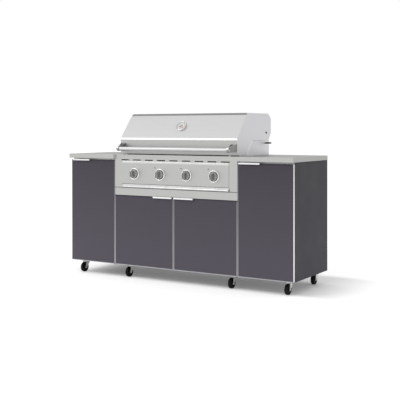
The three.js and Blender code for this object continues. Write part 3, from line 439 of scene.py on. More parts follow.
def painted_floor_light(tree, noise):
    """Painted light: a value that rises, a little unevenly, from the worktops to the floor,
    standing in for the light that the floor throws up.
    """
    doors_top, doors_foot = 0.85, 0.08
    worktop_shade, floor_lit, unevenness = 0.06, 0.82, 0.1
    place = add_node(tree, "ShaderNodeTexCoord").outputs["Object"]
    height = add_node(tree, "ShaderNodeSeparateXYZ", None, {"Vector": place}).outputs["Z"]
    dust_and_floor_light = add_node(tree, "ShaderNodeMapRange", None, {
        "Value": height, "From Min": doors_top, "From Max": doors_foot,
        "To Min": worktop_shade, "To Max": floor_lit})
    made = add_node(tree, "ShaderNodeMath", {"operation": "MULTIPLY_ADD"}, {
        0: noise, 1: unevenness, 2: dust_and_floor_light.outputs["Result"]})
    return made.outputs[0]


def brushed_metal(key, name, grain, roughness, spread, edge="#FFFFFF", floor_lit=False):
    """A metal in the colour of its key. Its grain's sizes are in millimetres, along each axis."""
    sway, depth = 0.04, 0.01 * MM
    colour = getattr(bpy.context.scene.island_finishes, key)
    material, tree, shader = new_material(name)
    lines = grain_noise(tree, grain)
    # Painted light for the door frames: darker near the worktops and paler towards the floor.
    shades = shade_range(tree, painted_floor_light(tree, lines) if floor_lit else lines, colour, spread)
    gloss = number_range(tree, lines, roughness - sway, roughness + sway)
    link_skin(tree, shader, shades, gloss, lines, depth, 0.25)
    shader.inputs["Metallic"].default_value = 1.0
    shader.inputs["Specular Tint"].default_value = linear(edge)
    FINISHES[key] = material


def make_finishes():
    """Make every finish, under the name of its colour or of what it is."""
    colours = bpy.context.scene.island_finishes

    # Powder-coated steel: sprayed and baked, a dull skin with the fine orange peel of the powder,
    # about 1.5 mm from bump to bump, and a faint unevenness over a hand's width. The carcasses are
    # cooler than the doors and darker, partly as painted shade for the island's shaded side. Both
    # are darker near the worktops and paler towards the floor: painted light for the floor's
    # bounce.
    for key, name, colour, paling in (
            ("slate", "powder coated door steel", colours.slate, 0.37),
            ("carcass", "powder coated carcass steel", colours.carcass, 0.24)):
        material, tree, shader = new_material(name)
        peel = grain_noise(tree, (1.5, 1.5, 1.5), detail=1.0)
        drift = grain_noise(tree, (110, 110, 110), detail=2.0)
        shades = shade_range(tree, painted_floor_light(tree, drift), colour, paling)
        gloss = number_range(tree, drift, 0.58, 0.66)
        link_skin(tree, shader, shades, gloss, peel, 0.05 * MM, 0.5)
        shader.inputs["IOR"].default_value = 1.42
        FINISHES[key] = material

    # Brushed stainless steel: belt-ground along the island, so it spreads reflections into a soft
    # sheen and darkens at a low angle. The real lines are about 0.2 mm wide; they are drawn 4 mm
    # wide to show.
    brushed_metal(
        "brushed", "brushed stainless steel", grain=(250, 4, 4), roughness=0.38, spread=0.025,
        edge="#D2D2D2")

    # Satin stainless steel: finer ground and lightly polished, so it is paler and its lines are
    # faint. They too are drawn wider than real ones, 5 mm.
    brushed_metal(
        "hood", "satin ground stainless steel", grain=(330, 5, 5), roughness=0.3, spread=0.012)

    # The end caps are folded from unpolished sheet: the same grey, a little cooler and duller.
    brushed_metal(
        "cap", "bead blasted stainless steel", grain=(11, 11, 11), roughness=0.42, spread=0.012)

    # Pale edge colour, a painted light: on the caps' notch, the brackets' upper faces and the
    # worktops' inner ends it stands in for the light their edges catch.
    brushed_metal(
        "painted_edge_light", "stainless edge with painted light", grain=(17, 17, 17), roughness=0.3, spread=0.01)

    # The upright strip behind the handle, below the hood's knee, is the hood's steel given a greyer
    # colour: a painted darker reflection. The carcass's bare top rail above the end doors takes the
    # same grey.
    brushed_metal(
        "leg", "greyer stainless steel", grain=(250, 4, 4), roughness=0.38, spread=0.02)

    # The folded strip above the slope is the hood's steel given a darker colour: a painted dark
    # reflection.
    brushed_metal(
        "brow", "stainless steel with painted dark reflection", grain=(330, 6, 6), roughness=0.36, spread=0.03)

    # Polished stainless steel: buffed along its length, so it mirrors the room in long bands. On
    # the control panel it is a painted highlight along the pressed field's top.
    brushed_metal(
        "polish_and_highlight", "buffed steel and painted highlight", grain=(330, 4, 4), roughness=0.24, spread=0.01)

    # The handle tube is ground and not buffed, so its highlight is broad and soft.
    brushed_metal(
        "handle", "ground stainless tube", grain=(330, 4, 4), roughness=0.42, spread=0.015)

    # Dark, dull steel: on the cooking grates it is heat browning; on the shelf under the hood's
    # foot it is painted shade that deepens the gap under the hood.
    brushed_metal(
        "browned", "heat browned steel and painted shade", grain=(33, 33, 33), roughness=0.6, spread=0.1)

    # Mill finish sheet: cold rolled and left as it is, with a cloudy grain from front to back.
    brushed_metal(
        "firebox", "cold rolled stainless steel", grain=(17, 125, 17), roughness=0.55, spread=0.03)

    # Anodised aluminium: an extruded profile, etched matt, with a soft sheen. It is strongly darker
    # near the worktops and paler towards the floor, as painted light.
    brushed_metal(
        "aluminium", "satin anodised aluminium", grain=(17, 17, 17), roughness=0.42, spread=0.56,
        floor_lit=True)

    # The outer corner profile's side is the frame's aluminium in a much paler colour, a painted
    # highlight, and paler towards the floor; it is the brightest of the frame's strips.
    brushed_metal(
        "corner", "anodised corner profile with painted highlight", grain=(17, 17, 17), roughness=0.36, spread=0.2,
        floor_lit=True)

    # The pulls are brightened before the anodising, so they are nearly white with a clear shine.
    brushed_metal(
        "pull", "bright anodised aluminium", grain=(330, 8, 8), roughness=0.28, spread=0.01)

    # Investment-cast stainless steel: bead-blasted, darker and slightly mottled.
    brushed_metal(
        "bracket", "cast stainless steel", grain=(8, 8, 8), roughness=0.34, spread=0.08)

    # Zinc plating on pressed steel: bright grey with a soft cloudy spangle of about 8 mm.
    brushed_metal(
        "zinc", "zinc plated steel", grain=(8, 8, 8), roughness=0.38, spread=0.1)

    # Chromed zinc casting: a mirror with a trace of dust in its roughness.
    brushed_metal(
        "chrome", "chromed zinc casting", grain=(11, 11, 11), roughness=0.16, spread=0.01)

    # Grey zinc die casting: tumbled and clear lacquered, so it is satin and slightly grainy.
    brushed_metal(
        "knob", "lacquered zinc casting", grain=(2.4, 2.4, 2.4), roughness=0.3, spread=0.05)

    # The grip's front face is the same zinc in a darker colour, with fine level lines in its grain.
    brushed_metal(
        "knob_face", "darker zinc face", grain=(125, 125, 2), roughness=0.34, spread=0.04)

    # Black oxide on steel: chemically blackened and oiled, nearly black with a dull shine.
    brushed_metal(
        "oxide", "black oxide steel", grain=(5, 5, 5), roughness=0.45, spread=0.1)

    # Caster rubber: moulded, matt, with the dust that a tread picks up.
    material, tree, shader = new_material("moulded rubber")
    dust_and_floor_light = grain_noise(tree, (6, 6, 6))
    shades = shade_range(tree, dust_and_floor_light, colours.rubber, 0.25)
    link_skin(tree, shader, shades, number_range(tree, dust_and_floor_light, 0.6, 0.7), dust_and_floor_light, 0.1 * MM, 0.4)
    shader.inputs["IOR"].default_value = 1.5
    shader.inputs["Specular IOR Level"].default_value = 0.2
    FINISHES["rubber"] = material

    # Enamelled dial: screen-printed white on aluminium, even with a slight gloss.
    material, tree, shader = new_material("enamelled dial")
    drift = grain_noise(tree, (25, 25, 25), detail=1.0)
    tree.links.new(shade_range(tree, drift, colours.dial, 0.02), shader.inputs["Base Color"])
    shader.inputs["Roughness"].default_value = 0.3
    FINISHES["dial"] = material

    # Screen-printed ink: even and satin, in black, grey and faded red on the dial and the panel,
    # and in white on the knobs.
    for name, ink in (("black ink", "#4A4948"), ("grey ink", "#C6C4C3"),
                      ("red ink", "#E3A29C"), ("white ink", "#DADADA")):
        material, tree, shader = new_material(name)
        grain = grain_noise(tree, (2, 2, 2), detail=1.0)
        tree.links.new(shade_range(tree, grain, linear(ink), 0.05), shader.inputs["Base Color"])
        shader.inputs["Roughness"].default_value = 0.45
        FINISHES[name] = material

    # Heat-tinted stainless steel: the burners' flames leave straw and brown patches a hand wide.
    material, tree, shader = new_material("heat tinted stainless steel")
    patches = grain_noise(tree, (70, 160, 70))
    mix = add_node(tree, "ShaderNodeMix", {"data_type": "RGBA"}, {
        0: number_range(tree, patches, 0.0, 1.0), 6: linear("#A9A5A0"), 7: linear("#8F8474")})
    tree.links.new(mix.outputs[2], shader.inputs["Base Color"])
    shader.inputs["Metallic"].default_value = 1.0
    tree.links.new(number_range(tree, patches, 0.35, 0.5), shader.inputs["Roughness"])
    FINISHES["heat"] = material


def seen_rays(tree):
    """1 for the rays that the camera, a mirror or a glass sends out, 0 for the rest."""
    rays = add_node(tree, "ShaderNodeLightPath").outputs
    seen = add_node(tree, "ShaderNodeMath", {"operation": "MAXIMUM"}, {
        0: rays["Is Camera Ray"], 1: rays["Is Glossy Ray"]})
    seen = add_node(tree, "ShaderNodeMath", {"operation": "MAXIMUM"}, {
        0: seen.outputs[0], 1: rays["Is Transmission Ray"]})
    return seen.outputs[0]


# Operators, one for each group of pieces

class ISLAND_OT_stage(bpy.types.Operator):
    """Set up the floor, the sky, the lamp and the camera"""

    bl_idname = "island.stage"
    bl_label = "Stage"

    def execute(self, context):
        scene = context.scene
        settings = scene.island_stage
        self.floor(settings.floor_glow)
        scene.world = self.sky(settings.sky_strength)
        self.lamp(settings)
        scene.camera = self.camera(settings)
        scene.view_settings.view_transform = "Standard"
        return {"FINISHED"}

    def floor(self, glow):
        """A pale floor that keeps the object's shadow, with a painted shadow where its glow fades
        under the object.
        """
        bpy.ops.object.select_all(action="DESELECT")
        bpy.ops.mesh.primitive_plane_add(size=60, location=ORIGIN)
        floor = bpy.context.object
        floor.name = "studio_floor"
        material, tree, shader = new_material("pale studio floor")
        seen = seen_rays(tree)
        paint = add_node(tree, "ShaderNodeMix", {"data_type": "RGBA"}, {
            0: seen, 6: linear("#F0F0F0"), 7: linear("#F9F9F9")})
        tree.links.new(paint.outputs[2], shader.inputs["Base Color"])
        shader.inputs["Roughness"].default_value = 1.0
        shader.inputs["Specular IOR Level"].default_value = 0.0
        seen_glow = add_node(tree, "ShaderNodeMath", {"operation": "MULTIPLY"}, {
            0: seen, 1: self.open_floor(tree, glow)})
        shader.inputs["Emission Color"].default_value = (1, 1, 1, 1)
        tree.links.new(seen_glow.outputs[0], shader.inputs["Emission Strength"])
        floor.data.materials.append(material)

    def open_floor(self, tree, glow):
        """The floor's glow, which fades out in a box set where the object's shadow falls: a painted
        shadow on the floor.
        """
        shadow_middle, shadow_half = (0.12, 0.2, 0), (0.73, 0.32, 0)
        closer_in_depth, fade, least = (1, 3.4, 0), 0.45, 0.15
        beyond = add_node(tree, "ShaderNodeTexCoord").outputs["Object"]
        for operation, value in (
                ("SUBTRACT", shadow_middle), ("ABSOLUTE", ORIGIN), ("SUBTRACT", shadow_half),
                ("MAXIMUM", ORIGIN), ("MULTIPLY", closer_in_depth)):
            step = add_node(tree, "ShaderNodeVectorMath", {"operation": operation}, {
                0: beyond, 1: value})
            beyond = step.outputs[0]
        away = add_node(tree, "ShaderNodeVectorMath", {"operation": "LENGTH"}, {0: beyond})
        made = add_node(tree, "ShaderNodeMapRange", {"interpolation_type": "SMOOTHSTEP"}, {
            "Value": away.outputs["Value"], "From Min": 0.0, "From Max": fade,
            "To Min": least, "To Max": glow})
        return made.outputs["Result"]

    def sky(self, strength):
        """An even white sky, which is pure white where it is seen."""
        world = bpy.data.worlds.new("studio sky")
        world.use_nodes = True
        tree = world.node_tree
        seen_or_lit = add_node(tree, "ShaderNodeMapRange", None, {
            "Value": seen_rays(tree), "To Min": strength, "To Max": 1.0})
        background = tree.nodes["Background"]
        background.inputs["Color"].default_value = (1, 1, 1, 1)
        tree.links.new(seen_or_lit.outputs["Result"], background.inputs["Strength"])
        return world

    def lamp(self, settings):
        """One large soft lamp at the upper left."""
        place = Vector(settings.key_place)
        bpy.ops.object.light_add(type="AREA", location=place)
        lamp = bpy.context.object
        lamp.name = "key_lamp"
        lamp.data.size = settings.key_size
        lamp.data.energy = settings.key_power
        towards = Vector(settings.key_aim) - place
        lamp.rotation_euler = towards.to_track_quat("-Z", "Y").to_euler()

    def camera(self, settings):
        """A level camera, with the horizon above the middle of its frame."""
        bpy.ops.object.camera_add(
            location=settings.camera_place, rotation=(math.radians(90), 0, settings.camera_turn))
        camera = bpy.context.object
        camera.name = "photo_camera"
        camera.data.sensor_width = 36
        camera.data.lens = settings.lens
        camera.data.shift_y = settings.camera_shift
        camera.data.clip_end = 200
        return camera


class ISLAND_OT_cabinets(bpy.types.Operator):
    """Dress the cabinets, worktops and fascia"""

    bl_idname = "island.cabinets"
    bl_label = "Cabinets and worktops"

    def execute(self, context):
        radius = context.scene.island_sizes.sheet_radius
        rounded_copy("centre_cabinet", radius / 2, finish("carcass"))
        for side in ("left", "right"):
            # The carcass's top rail is bare steel where it shows above the door
            cabinet = rounded_copy(side + "_cabinet", radius / 2, finish("carcass"))
            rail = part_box(side + "_door_frame")[1].z - 4 * MM
            cut_lines(cabinet, ((0, 0, rail), UPWARD))
            second_finish(cabinet, finish("leg"), lambda centre, normal: (
                normal.y < -MOSTLY and centre.z > rail))
            # Painted light: each worktop's inner end, beside the control panel, is given the pale
            # edge colour, which lifts the shade that the panel throws on it
            worktop = rounded_copy(
                side + "_countertop", radius, finish("brushed"), 3)
            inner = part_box("control_panel")[1].x + 2 * MM
            second_finish(worktop, finish("painted_edge_light"), lambda centre, normal: (
                abs(normal.x) > MOSTLY and abs(centre.x) < inner))
        rounded_copy("grill_fascia", radius, finish("brushed"), 3)
        return {"FINISHED"}


class ISLAND_OT_doors(bpy.types.Operator):
    """Dress the four doors and their pulls"""

    bl_idname = "island.doors"
    bl_label = "Doors"

    def execute(self, context):
        sizes = context.scene.island_sizes
        for door in ("left", "centre_left", "centre_right", "right"):
            frame_piece = rounded_copy(
                door + "_door_frame", sizes.profile_radius / 2, finish("aluminium"))
            # The frame's top rail is coated like the panel, above the panel's upper right corner
            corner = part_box(door + "_door_panel")[1]
            cut_lines(frame_piece, (corner, UPWARD), (corner, ACROSS))
            second_finish(frame_piece, finish("slate"), lambda centre, normal: centre.z > corner.z)
            if door == "right":
                # The end door's outer profile has a painted highlight at its side and is coated at
                # its front
                second_finish(frame_piece, finish("corner"), lambda centre, normal: (
                    centre.x > corner.x and normal.x > 0.3))
                second_finish(frame_piece, finish("slate"), lambda centre, normal: (
                    centre.x > corner.x and normal.y < -0.95))
            rounded_copy(door + "_door_panel", sizes.sheet_radius, finish("slate"), 3)
            rounded_copy(door + "_door_pull", sizes.profile_radius, finish("pull"))
        return {"FINISHED"}


class ISLAND_OT_casters(bpy.types.Operator):
    """Model the caster wheels and dress their forks"""

    bl_idname = "island.casters"
    bl_label = "Casters"

    def execute(self, context):
        radius = context.scene.island_sizes.profile_radius
        wheels = [node for node in sorted(frame["nodes"]) if node.endswith("_caster_wheel")]
        model = self.wheel(wheels[0])
        for node in wheels:
            rounded_copy(node.replace("wheel", "fork"), radius, finish("zinc"))
            wheel = copy_at(model, Matrix.Translation(middle_of(node)[0]))
            finish_piece(
                wheel, node + ".turned", finish("rubber"),
                body_of_node(node), [node])
        remove_models(model)
        return {"FINISHED"}

    def wheel(self, node):
        """A wheel with a crowned tread, a rim groove, a dished web and a hub."""
        _middle, half = middle_of(node)
        radius, edge = half.z, -half.x
        side = [
            (4.5 * MM, edge), (10.5 * MM, edge), (11.5 * MM, edge + 0.8 * MM),
            (12.2 * MM, edge + 3.4 * MM), (25 * MM, edge + 4.2 * MM), (27 * MM, edge + 3 * MM),
            (28 * MM, edge + 1 * MM), (28.8 * MM, edge + 1 * MM), (29.3 * MM, edge + 1.8 * MM),
            (30 * MM, edge + 0.8 * MM), (radius - 3 * MM, edge + 0.8 * MM),
            (radius - 1 * MM, edge + 2.2 * MM), (radius - 0.2 * MM, edge + 5 * MM),
            (radius, edge + 9 * MM)]
        other_side = [(across, -along) for across, along in reversed(side)]
        return turned(side + other_side + side[:1], ORIGIN, ACROSS)


class ISLAND_OT_control_panel(bpy.types.Operator):
    """Dress the control panel and the drip tray under it"""

    bl_idname = "island.control_panel"
    bl_label = "Control panel and drip tray"

    def execute(self, context):
        radius = context.scene.island_sizes.profile_radius
        self.panel(radius)
        rounded_copy("drip_tray", radius, finish("polish_and_highlight"))
        return {"FINISHED"}

    def panel(self, radius):
        """The folded panel, with a painted highlight along the pressed field's shoulder and painted
        shade on the shelf.
        """
        border, band, shelf_depth, shelf_rise = 9 * MM, 12 * MM, 43 * MM, 47 * MM
        panel = rounded_copy("control_panel", radius, finish("brushed"))
        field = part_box("control_panel")[0].y
        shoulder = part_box("left_countertop")[1].z - 48 * MM
        foot = field + shelf_depth
        select_only(panel)
        bpy.ops.object.mode_set(mode="EDIT")
        faces_where(panel, lambda centre, normal: (
            normal.y < -SQUARELY and centre.y < field + 0.2 * MM))
        bpy.ops.mesh.inset(thickness=border, depth=0)
        bpy.ops.object.mode_set(mode="OBJECT")
        cut_lines(panel, ((0, 0, shoulder - band), UPWARD), ((0, foot, 0), REARWARD))
        # Painted highlight: a flat band along the pressed field's top is given the polished colour
        # for the light its bend catches.
        second_finish(panel, finish("polish_and_highlight"), lambda centre, normal: (
            centre.y < field + 2.8 * MM and -band < centre.z - shoulder < 1 * MM))
        # Painted shade: the shelf behind the hood's foot is given the dark browned colour,
        # deepening the shadow gap under the hood.
        second_finish(panel, finish("browned"), lambda centre, normal: (
            normal.z > MOSTLY and centre.y > foot and centre.z > shoulder + shelf_rise))


class ISLAND_OT_knobs(bpy.types.Operator):
    """Model the knobs, their bezels and the printed dots beside them"""

    bl_idname = "island.knobs"
    bl_label = "Knobs"

    def execute(self, context):
        ring, knob, line = self.bezel(), self.knob(), self.pointer()
        for number in BURNERS:
            node = "knob_bezel_%d" % number
            finish_piece(
                copy_at(ring, rear_of(node)), node + ".turned", finish("chrome"),
                body_of_node(node), [node])
            node = "knob_%d" % number
            cast = finish_piece(
                copy_at(knob, rear_of(node)), node + ".cast", finish("knob"),
                body_of_node(node), [node])
            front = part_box(node)[0].y + 1 * MM
            second_finish(cast, finish("knob_face"), lambda centre, normal: (
                normal.y < -0.95 and centre.y < front))
            finish_piece(
                copy_at(line, rear_of(node)), node + ".pointer", finish("white ink"),
                body_of_node(node))
        remove_models(ring, knob, line)
        self.marks()
        return {"FINISHED"}

    def marks(self):
        """A small printed dot above each of three knobs, by the burner that it lights."""
        aside, above = -45 * MM, 47 * MM
        dot = turned(
            [(0, 0), (4.6 * MM, 0), (4.4 * MM, 0.12 * MM), (0, 0.15 * MM)], ORIGIN, FORWARD)
        dots = []
        for number in BURNERS[1:]:
            on_panel = rear_of("knob_bezel_%d" % number)
            dots.append(copy_at(dot, on_panel @ Matrix.Translation((aside, 0.3 * MM, above))))
        remove_models(dot)
        finish_piece(
            join_pieces(dots), "control_panel.marks", finish("black ink"),
            body_of_node("control_panel"))

    def bezel(self):
        """A chromed ring with a rounded lip and a dished inside."""
        _middle, half = middle_of("knob_bezel_1")
        depth = 2 * half.y
        outer, inner = 42.4 * MM, 33 * MM
        return turned([
            (inner, 0), (outer, 0), (outer, depth * 0.35), (outer - 0.6 * MM, depth * 0.6),
            (outer - 1.8 * MM, depth * 0.82), (outer - 3.6 * MM, depth * 0.96),
            (outer - 5 * MM, depth), (outer - 6.4 * MM, depth * 0.97),
            (outer - 7.6 * MM, depth * 0.85), (inner + 0.6 * MM, depth * 0.55),
            (inner, depth * 0.4), (inner, 0)], ORIGIN, FORWARD)

    def knob(self):
        """A round skirt and a tapered grip bar with rounded corners."""
        _middle, half = middle_of("knob_1")
        reach, radius = 2 * half.y, half.x
        skirt = turned([
            (0, 0), (radius, 0), (radius, 7 * MM), (radius - 0.5 * MM, 9 * MM),
            (radius - 1.6 * MM, 13 * MM), (radius - 2.6 * MM, 15 * MM),
            (radius - 4.4 * MM, 16 * MM), (radius - 7 * MM, 16 * MM),
            (radius - 9.5 * MM, 13.4 * MM), (radius - 12 * MM, 13.4 * MM),
            (radius - 14 * MM, 15.6 * MM), (0, 15.6 * MM)], ORIGIN, FORWARD)
        grip = block((0, -reach / 2, 0), (20.5 * MM, reach, 56 * MM))
        narrowed(grip, lambda centre, normal: normal.y < -MOSTLY, (0.74, 1, 0.73), (0, -reach, 0))
        round_edges(grip, 3.4 * MM, 4)
        return join_pieces([skirt, grip])

    def pointer(self):
        """The white line on a knob's grip."""
        _middle, half = middle_of("knob_1")
        line = block((0, 0.2 * MM - 2 * half.y, 11 * MM), (2 * MM, 0.4 * MM, 13 * MM))
        round_edges(line, 0.15 * MM)
        return line


class ISLAND_OT_firebox(bpy.types.Operator):
    """Dress the firebox with its pins and the gas rail"""

    bl_idname = "island.firebox"
    bl_label = "Firebox"

    # The axis of the hood's hinge pins
    HINGE_DEPTH = 219.5 * MM
    HINGE_HEIGHT = 1052 * MM

    def execute(self, context):
        radius = context.scene.island_sizes.profile_radius / 2
        firebox = rounded_copy("firebox", radius, finish("firebox"))
        # The hinge pins and the stop pins are black outside the hood's caps
        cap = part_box("lid")[1].x
        beyond = cap - 0.5 * MM
        cut_lines(firebox, ((beyond, 0, 0), ACROSS), ((-beyond, 0, 0), ACROSS))
        second_finish(firebox, finish("oxide"), lambda centre, normal: abs(centre.x) > beyond)
        self.hinge_nuts(Vector((cap + 0.6 * MM, self.HINGE_DEPTH, self.HINGE_HEIGHT)))
        rounded_copy("gas_rail", radius, finish("firebox"))
        return {"FINISHED"}

    def hinge_nuts(self, pin):
        """A domed nut on the end of each of the hood's hinge pins."""
        nut = turned([
            (0, 0), (7.4 * MM, 0), (7.4 * MM, 0.8 * MM), (6.4 * MM, 1.6 * MM), (3.4 * MM, 2.4 * MM),
            (0, 2.6 * MM)], ORIGIN, ACROSS)
        other_end = Matrix.Translation((-pin.x, pin.y, pin.z)) @ Matrix.Rotation(math.pi, 4, "Z")
        nuts = join_pieces([copy_at(nut, Matrix.Translation(pin)), copy_at(nut, other_end)])
        remove_models(nut)
        finish_piece(nuts, "hinge_nuts", finish("oxide"), body_of_node("firebox"))


class ISLAND_OT_burners(bpy.types.Operator):
    """Dress the warming rack, burners, flame tamers and cooking grates"""

    bl_idname = "island.burners"
    bl_label = "Burners and grates"

    def execute(self, context):
        radius = context.scene.island_sizes.profile_radius
        rounded_copy("warming_rack", radius / 2, finish("hood"))
        for number in BURNERS:
            rounded_copy("burner_%d" % number, radius / 2, finish("heat"))
        for side in ("left", "right"):
            rounded_copy(side + "_flame_tamer", radius / 2, finish("heat"))
            rounded_copy(side + "_cooking_grate", 2 * radius, finish("browned"))
        return {"FINISHED"}


class ISLAND_OT_hood(bpy.types.Operator):
    """Dress the hood's slope, brow, foot and end caps"""

    bl_idname = "island.hood"
    bl_label = "Hood"

    # Heights on the hood: its knee, and the upper edge of its slope, where the brow is folded
    KNEE = 1002 * MM
    BROW_FOOT = 1170 * MM

    def execute(self, context):
        radius = context.scene.island_sizes.sheet_radius
        hood = rounded_copy("lid", radius, finish("hood"), 3)
        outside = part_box("lid")[1].x
        # Painted reflection: the brow strip is given a darker colour for the dark that it mirrors
        # from above.
        second_finish(hood, finish("brow"), lambda centre, normal: (
            0.7 < normal.z < 0.93 and normal.y < -0.3 and centre.z > self.BROW_FOOT))
        second_finish(hood, finish("cap"), lambda centre, normal: abs(normal.x) > 0.8)
        self.notch_highlights(hood, outside)
        # Painted reflection: the upright strip below the knee is given a greyer colour for the
        # darker surroundings that it mirrors.
        second_finish(hood, finish("leg"), lambda centre, normal: (
            normal.y < -0.985 and centre.z < self.KNEE and abs(centre.x) < outside - 0.5 * MM))
        return {"FINISHED"}

    def notch_highlights(self, hood, outside):
        """A painted highlight, 5 mm wide, on the flat cap round the rear notch of each end cap, for
        the light on its rolled edge.
        """
        notch_front, notch_rear = -78 * MM, 16 * MM
        select_only(hood)
        bpy.ops.object.mode_set(mode="EDIT")
        faces_where(hood, lambda centre, normal: (
            abs(normal.x) > SQUARELY and abs(centre.x) > outside - 0.5 * MM))
        bpy.ops.mesh.inset(thickness=5 * MM, depth=0)
        bpy.ops.object.mode_set(mode="OBJECT")
        smooth(hood)
        second_finish(hood, finish("painted_edge_light"), lambda centre, normal: (
            abs(centre.x) > outside - 2 * MM and abs(normal.x) > 0.2
            and centre.z < self.KNEE and notch_front < centre.y < notch_rear))


class ISLAND_OT_handle(bpy.types.Operator):
    """Dress the handle's brackets and model its tube"""

    bl_idname = "island.handle"
    bl_label = "Handle"

    def execute(self, context):
        radius = context.scene.island_sizes.profile_radius
        for side in ("left", "right"):
            bracket = rounded_copy(
                side + "_handle_bracket", radius, finish("bracket"), 3)
            # Painted highlight: the yoke's upper edges and the top of its cup are given the pale
            # edge colour where they face up into the light
            second_finish(bracket, finish("painted_edge_light"), lambda centre, normal: (
                0.25 < normal.z < MOSTLY and normal.y < -0.2))
        self.tube()
        return {"FINISHED"}

    def tube(self):
        """A round tube with rolled ends and a dished plug in each."""
        middle, half = middle_of("lid_handle")
        radius, edge = half.z, -half.x
        end = [
            (0, edge + 2.4 * MM), (radius - 5 * MM, edge + 1.8 * MM),
            (radius - 2.6 * MM, edge + 1.4 * MM), (radius - 2 * MM, edge),
            (radius - 0.8 * MM, edge), (radius, edge + 0.8 * MM)]
        other_end = [(across, -along) for across, along in reversed(end)]
        tube = turned(end + other_end, middle, ACROSS)
        finish_piece(
            tube, "lid_handle.turned", finish("handle"), "hood", ["lid_handle"])


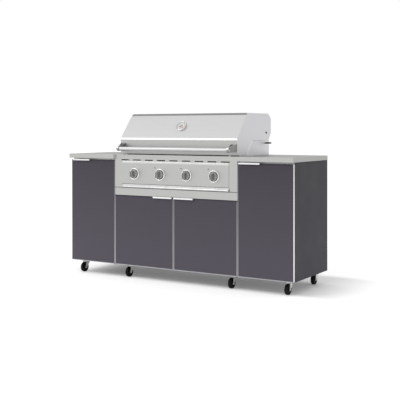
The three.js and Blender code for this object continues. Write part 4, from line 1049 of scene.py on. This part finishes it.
class ISLAND_OT_thermometer(bpy.types.Operator):
    """Model the thermometer lying flat, then lean it on the hood's slope"""

    bl_idname = "island.thermometer"
    bl_label = "Thermometer"

    def execute(self, context):
        sizes = context.scene.island_sizes
        radius = sizes.gauge_radius
        seat = Matrix.Translation(sizes.gauge_seat) @ Matrix.Rotation(sizes.gauge_tilt, 4, "X")
        face = 7.6 * MM
        well = radius - 9 * MM
        ring = turned([
            (well, 0), (radius - 0.4 * MM, 0), (radius, 1 * MM), (radius, 7 * MM),
            (radius - 0.8 * MM, 10.4 * MM), (radius - 2.4 * MM, 12.5 * MM),
            (radius - 4 * MM, 13 * MM), (radius - 5.6 * MM, 12.4 * MM),
            (radius - 6.6 * MM, 10.7 * MM), (radius - 7.2 * MM, 6.5 * MM),
            (well, 6.5 * MM), (well, 0)], ORIGIN, UPWARD)
        dial = turned([
            (0, -45 * MM), (4 * MM, -45 * MM), (4 * MM, 0), (well, 0),
            (radius - 7.6 * MM, 6.8 * MM), (radius - 11 * MM, face), (0, face)], ORIGIN, UPWARD)
        field = turned([
            (0, face), (13.5 * MM, face), (13.3 * MM, face + 0.15 * MM), (0, face + 0.2 * MM)],
            ORIGIN, UPWARD)
        for piece, name, coat, slot, nodes in (
                (ring, "ring", "polish_and_highlight", "chrome", ()),
                (dial, "dial", "dial", "dial", ("thermometer",)),
                (field, "field", "grey ink", "dial", ()),
                (self.zone(face), "zone", "red ink", "dial", ()),
                (self.ticks(radius, face), "marks", "black ink", "dial", ()),
                (self.needle(face), "needle", "black ink", "dial", ()),
                (self.hub(face), "hub", "polish_and_highlight", "polished_steel", ())):
            piece.matrix_world = seat @ piece.matrix_world
            finish_piece(piece, "thermometer." + name, finish(coat), "hood", nodes)
        return {"FINISHED"}

    def zone(self, face):
        """The red arc, a thin band turned over 100 degrees about the lower right of the dial."""
        inner, outer, raised = 16.5 * MM, 23.5 * MM, face + 0.2 * MM
        zone = turned([
            (inner, face), (outer, face), (outer - 0.1 * MM, raised), (inner + 0.1 * MM, raised),
            (inner, face)], ORIGIN, UPWARD, math.radians(100))
        points = [vertex.co.xy for vertex in zone.data.vertices]
        middle = sum(points, Vector((0, 0)))
        turn = math.radians(-65) - math.atan2(middle.y, middle.x)
        zone.matrix_world = Matrix.Rotation(turn, 4, "Z")
        return zone

    def ticks(self, radius, face):
        """28 tapered ticks at every 10 degrees, every third one long."""
        models = []
        for length in (5 * MM, 2.6 * MM):
            tick = block((0, radius - 11.5 * MM, face), (1.2 * MM, length, 0.4 * MM))
            models.append(narrowed(
                tick, lambda centre, normal: normal.y < -MOSTLY, (0.6, 1, 1),
                (0, radius - 14 * MM, face)))
        marks = join_pieces([
            copy_at(models[0 if index % 3 == 0 else 1],
                    Matrix.Rotation(math.radians(135 - index * 10), 4, "Z"))
            for index in range(28)])
        remove_models(*models)
        return marks

    def needle(self, face):
        """A needle that tapers to its tip, turned to the low end of the scale."""
        needle = block((0, 6.5 * MM, face + 1.4 * MM), (3.4 * MM, 31 * MM, 0.8 * MM))
        narrowed(
            needle, lambda centre, normal: normal.y > MOSTLY, (0.25, 1, 1), (0, 22 * MM, face))
        round_edges(needle, 0.2 * MM)
        needle.matrix_world = Matrix.Rotation(math.radians(118), 4, "Z")
        return needle

    def hub(self, face):
        """The domed hub that holds the needle."""
        return turned([
            (0, face), (4.2 * MM, face), (4.2 * MM, face + 2 * MM),
            (3.4 * MM, face + 2.8 * MM), (0, face + 3.1 * MM)], ORIGIN, UPWARD)


class ISLAND_PT_panel(bpy.types.Panel):
    """The island's settings and steps in the sidebar"""

    bl_idname = "ISLAND_PT_panel"
    bl_label = "Outdoor kitchen island"
    bl_space_type = "VIEW_3D"
    bl_region_type = "UI"
    bl_category = "Island"

    def draw(self, context):
        scene = context.scene
        for group in (scene.island_finishes, scene.island_sizes, scene.island_stage):
            for setting in group.__annotations__:
                self.layout.prop(group, setting)
        for step in STEPS:
            self.layout.operator(step.bl_idname)


STEPS = (
    ISLAND_OT_stage, ISLAND_OT_cabinets, ISLAND_OT_doors, ISLAND_OT_casters,
    ISLAND_OT_control_panel, ISLAND_OT_knobs, ISLAND_OT_firebox, ISLAND_OT_burners,
    ISLAND_OT_hood, ISLAND_OT_handle, ISLAND_OT_thermometer)
CLASSES = (IslandFinishes, IslandSizes, IslandStage) + STEPS + (ISLAND_PT_panel,)


def register():
    """Register the classes and hang the settings on the scene."""
    for cls in CLASSES:
        bpy.utils.register_class(cls)
    bpy.types.Scene.island_finishes = PointerProperty(type=IslandFinishes)
    bpy.types.Scene.island_sizes = PointerProperty(type=IslandSizes)
    bpy.types.Scene.island_stage = PointerProperty(type=IslandStage)


def unregister():
    """Take the settings and classes away again."""
    del bpy.types.Scene.island_stage
    del bpy.types.Scene.island_sizes
    del bpy.types.Scene.island_finishes
    for cls in reversed(CLASSES):
        bpy.utils.unregister_class(cls)


def main():
    """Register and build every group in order."""
    register()
    bpy.ops.island.stage()
    bpy.ops.island.cabinets()
    bpy.ops.island.doors()
    bpy.ops.island.casters()
    bpy.ops.island.control_panel()
    bpy.ops.island.knobs()
    bpy.ops.island.firebox()
    bpy.ops.island.burners()
    bpy.ops.island.hood()
    bpy.ops.island.handle()
    bpy.ops.island.thermometer()


if __name__ == "__main__":
    main()
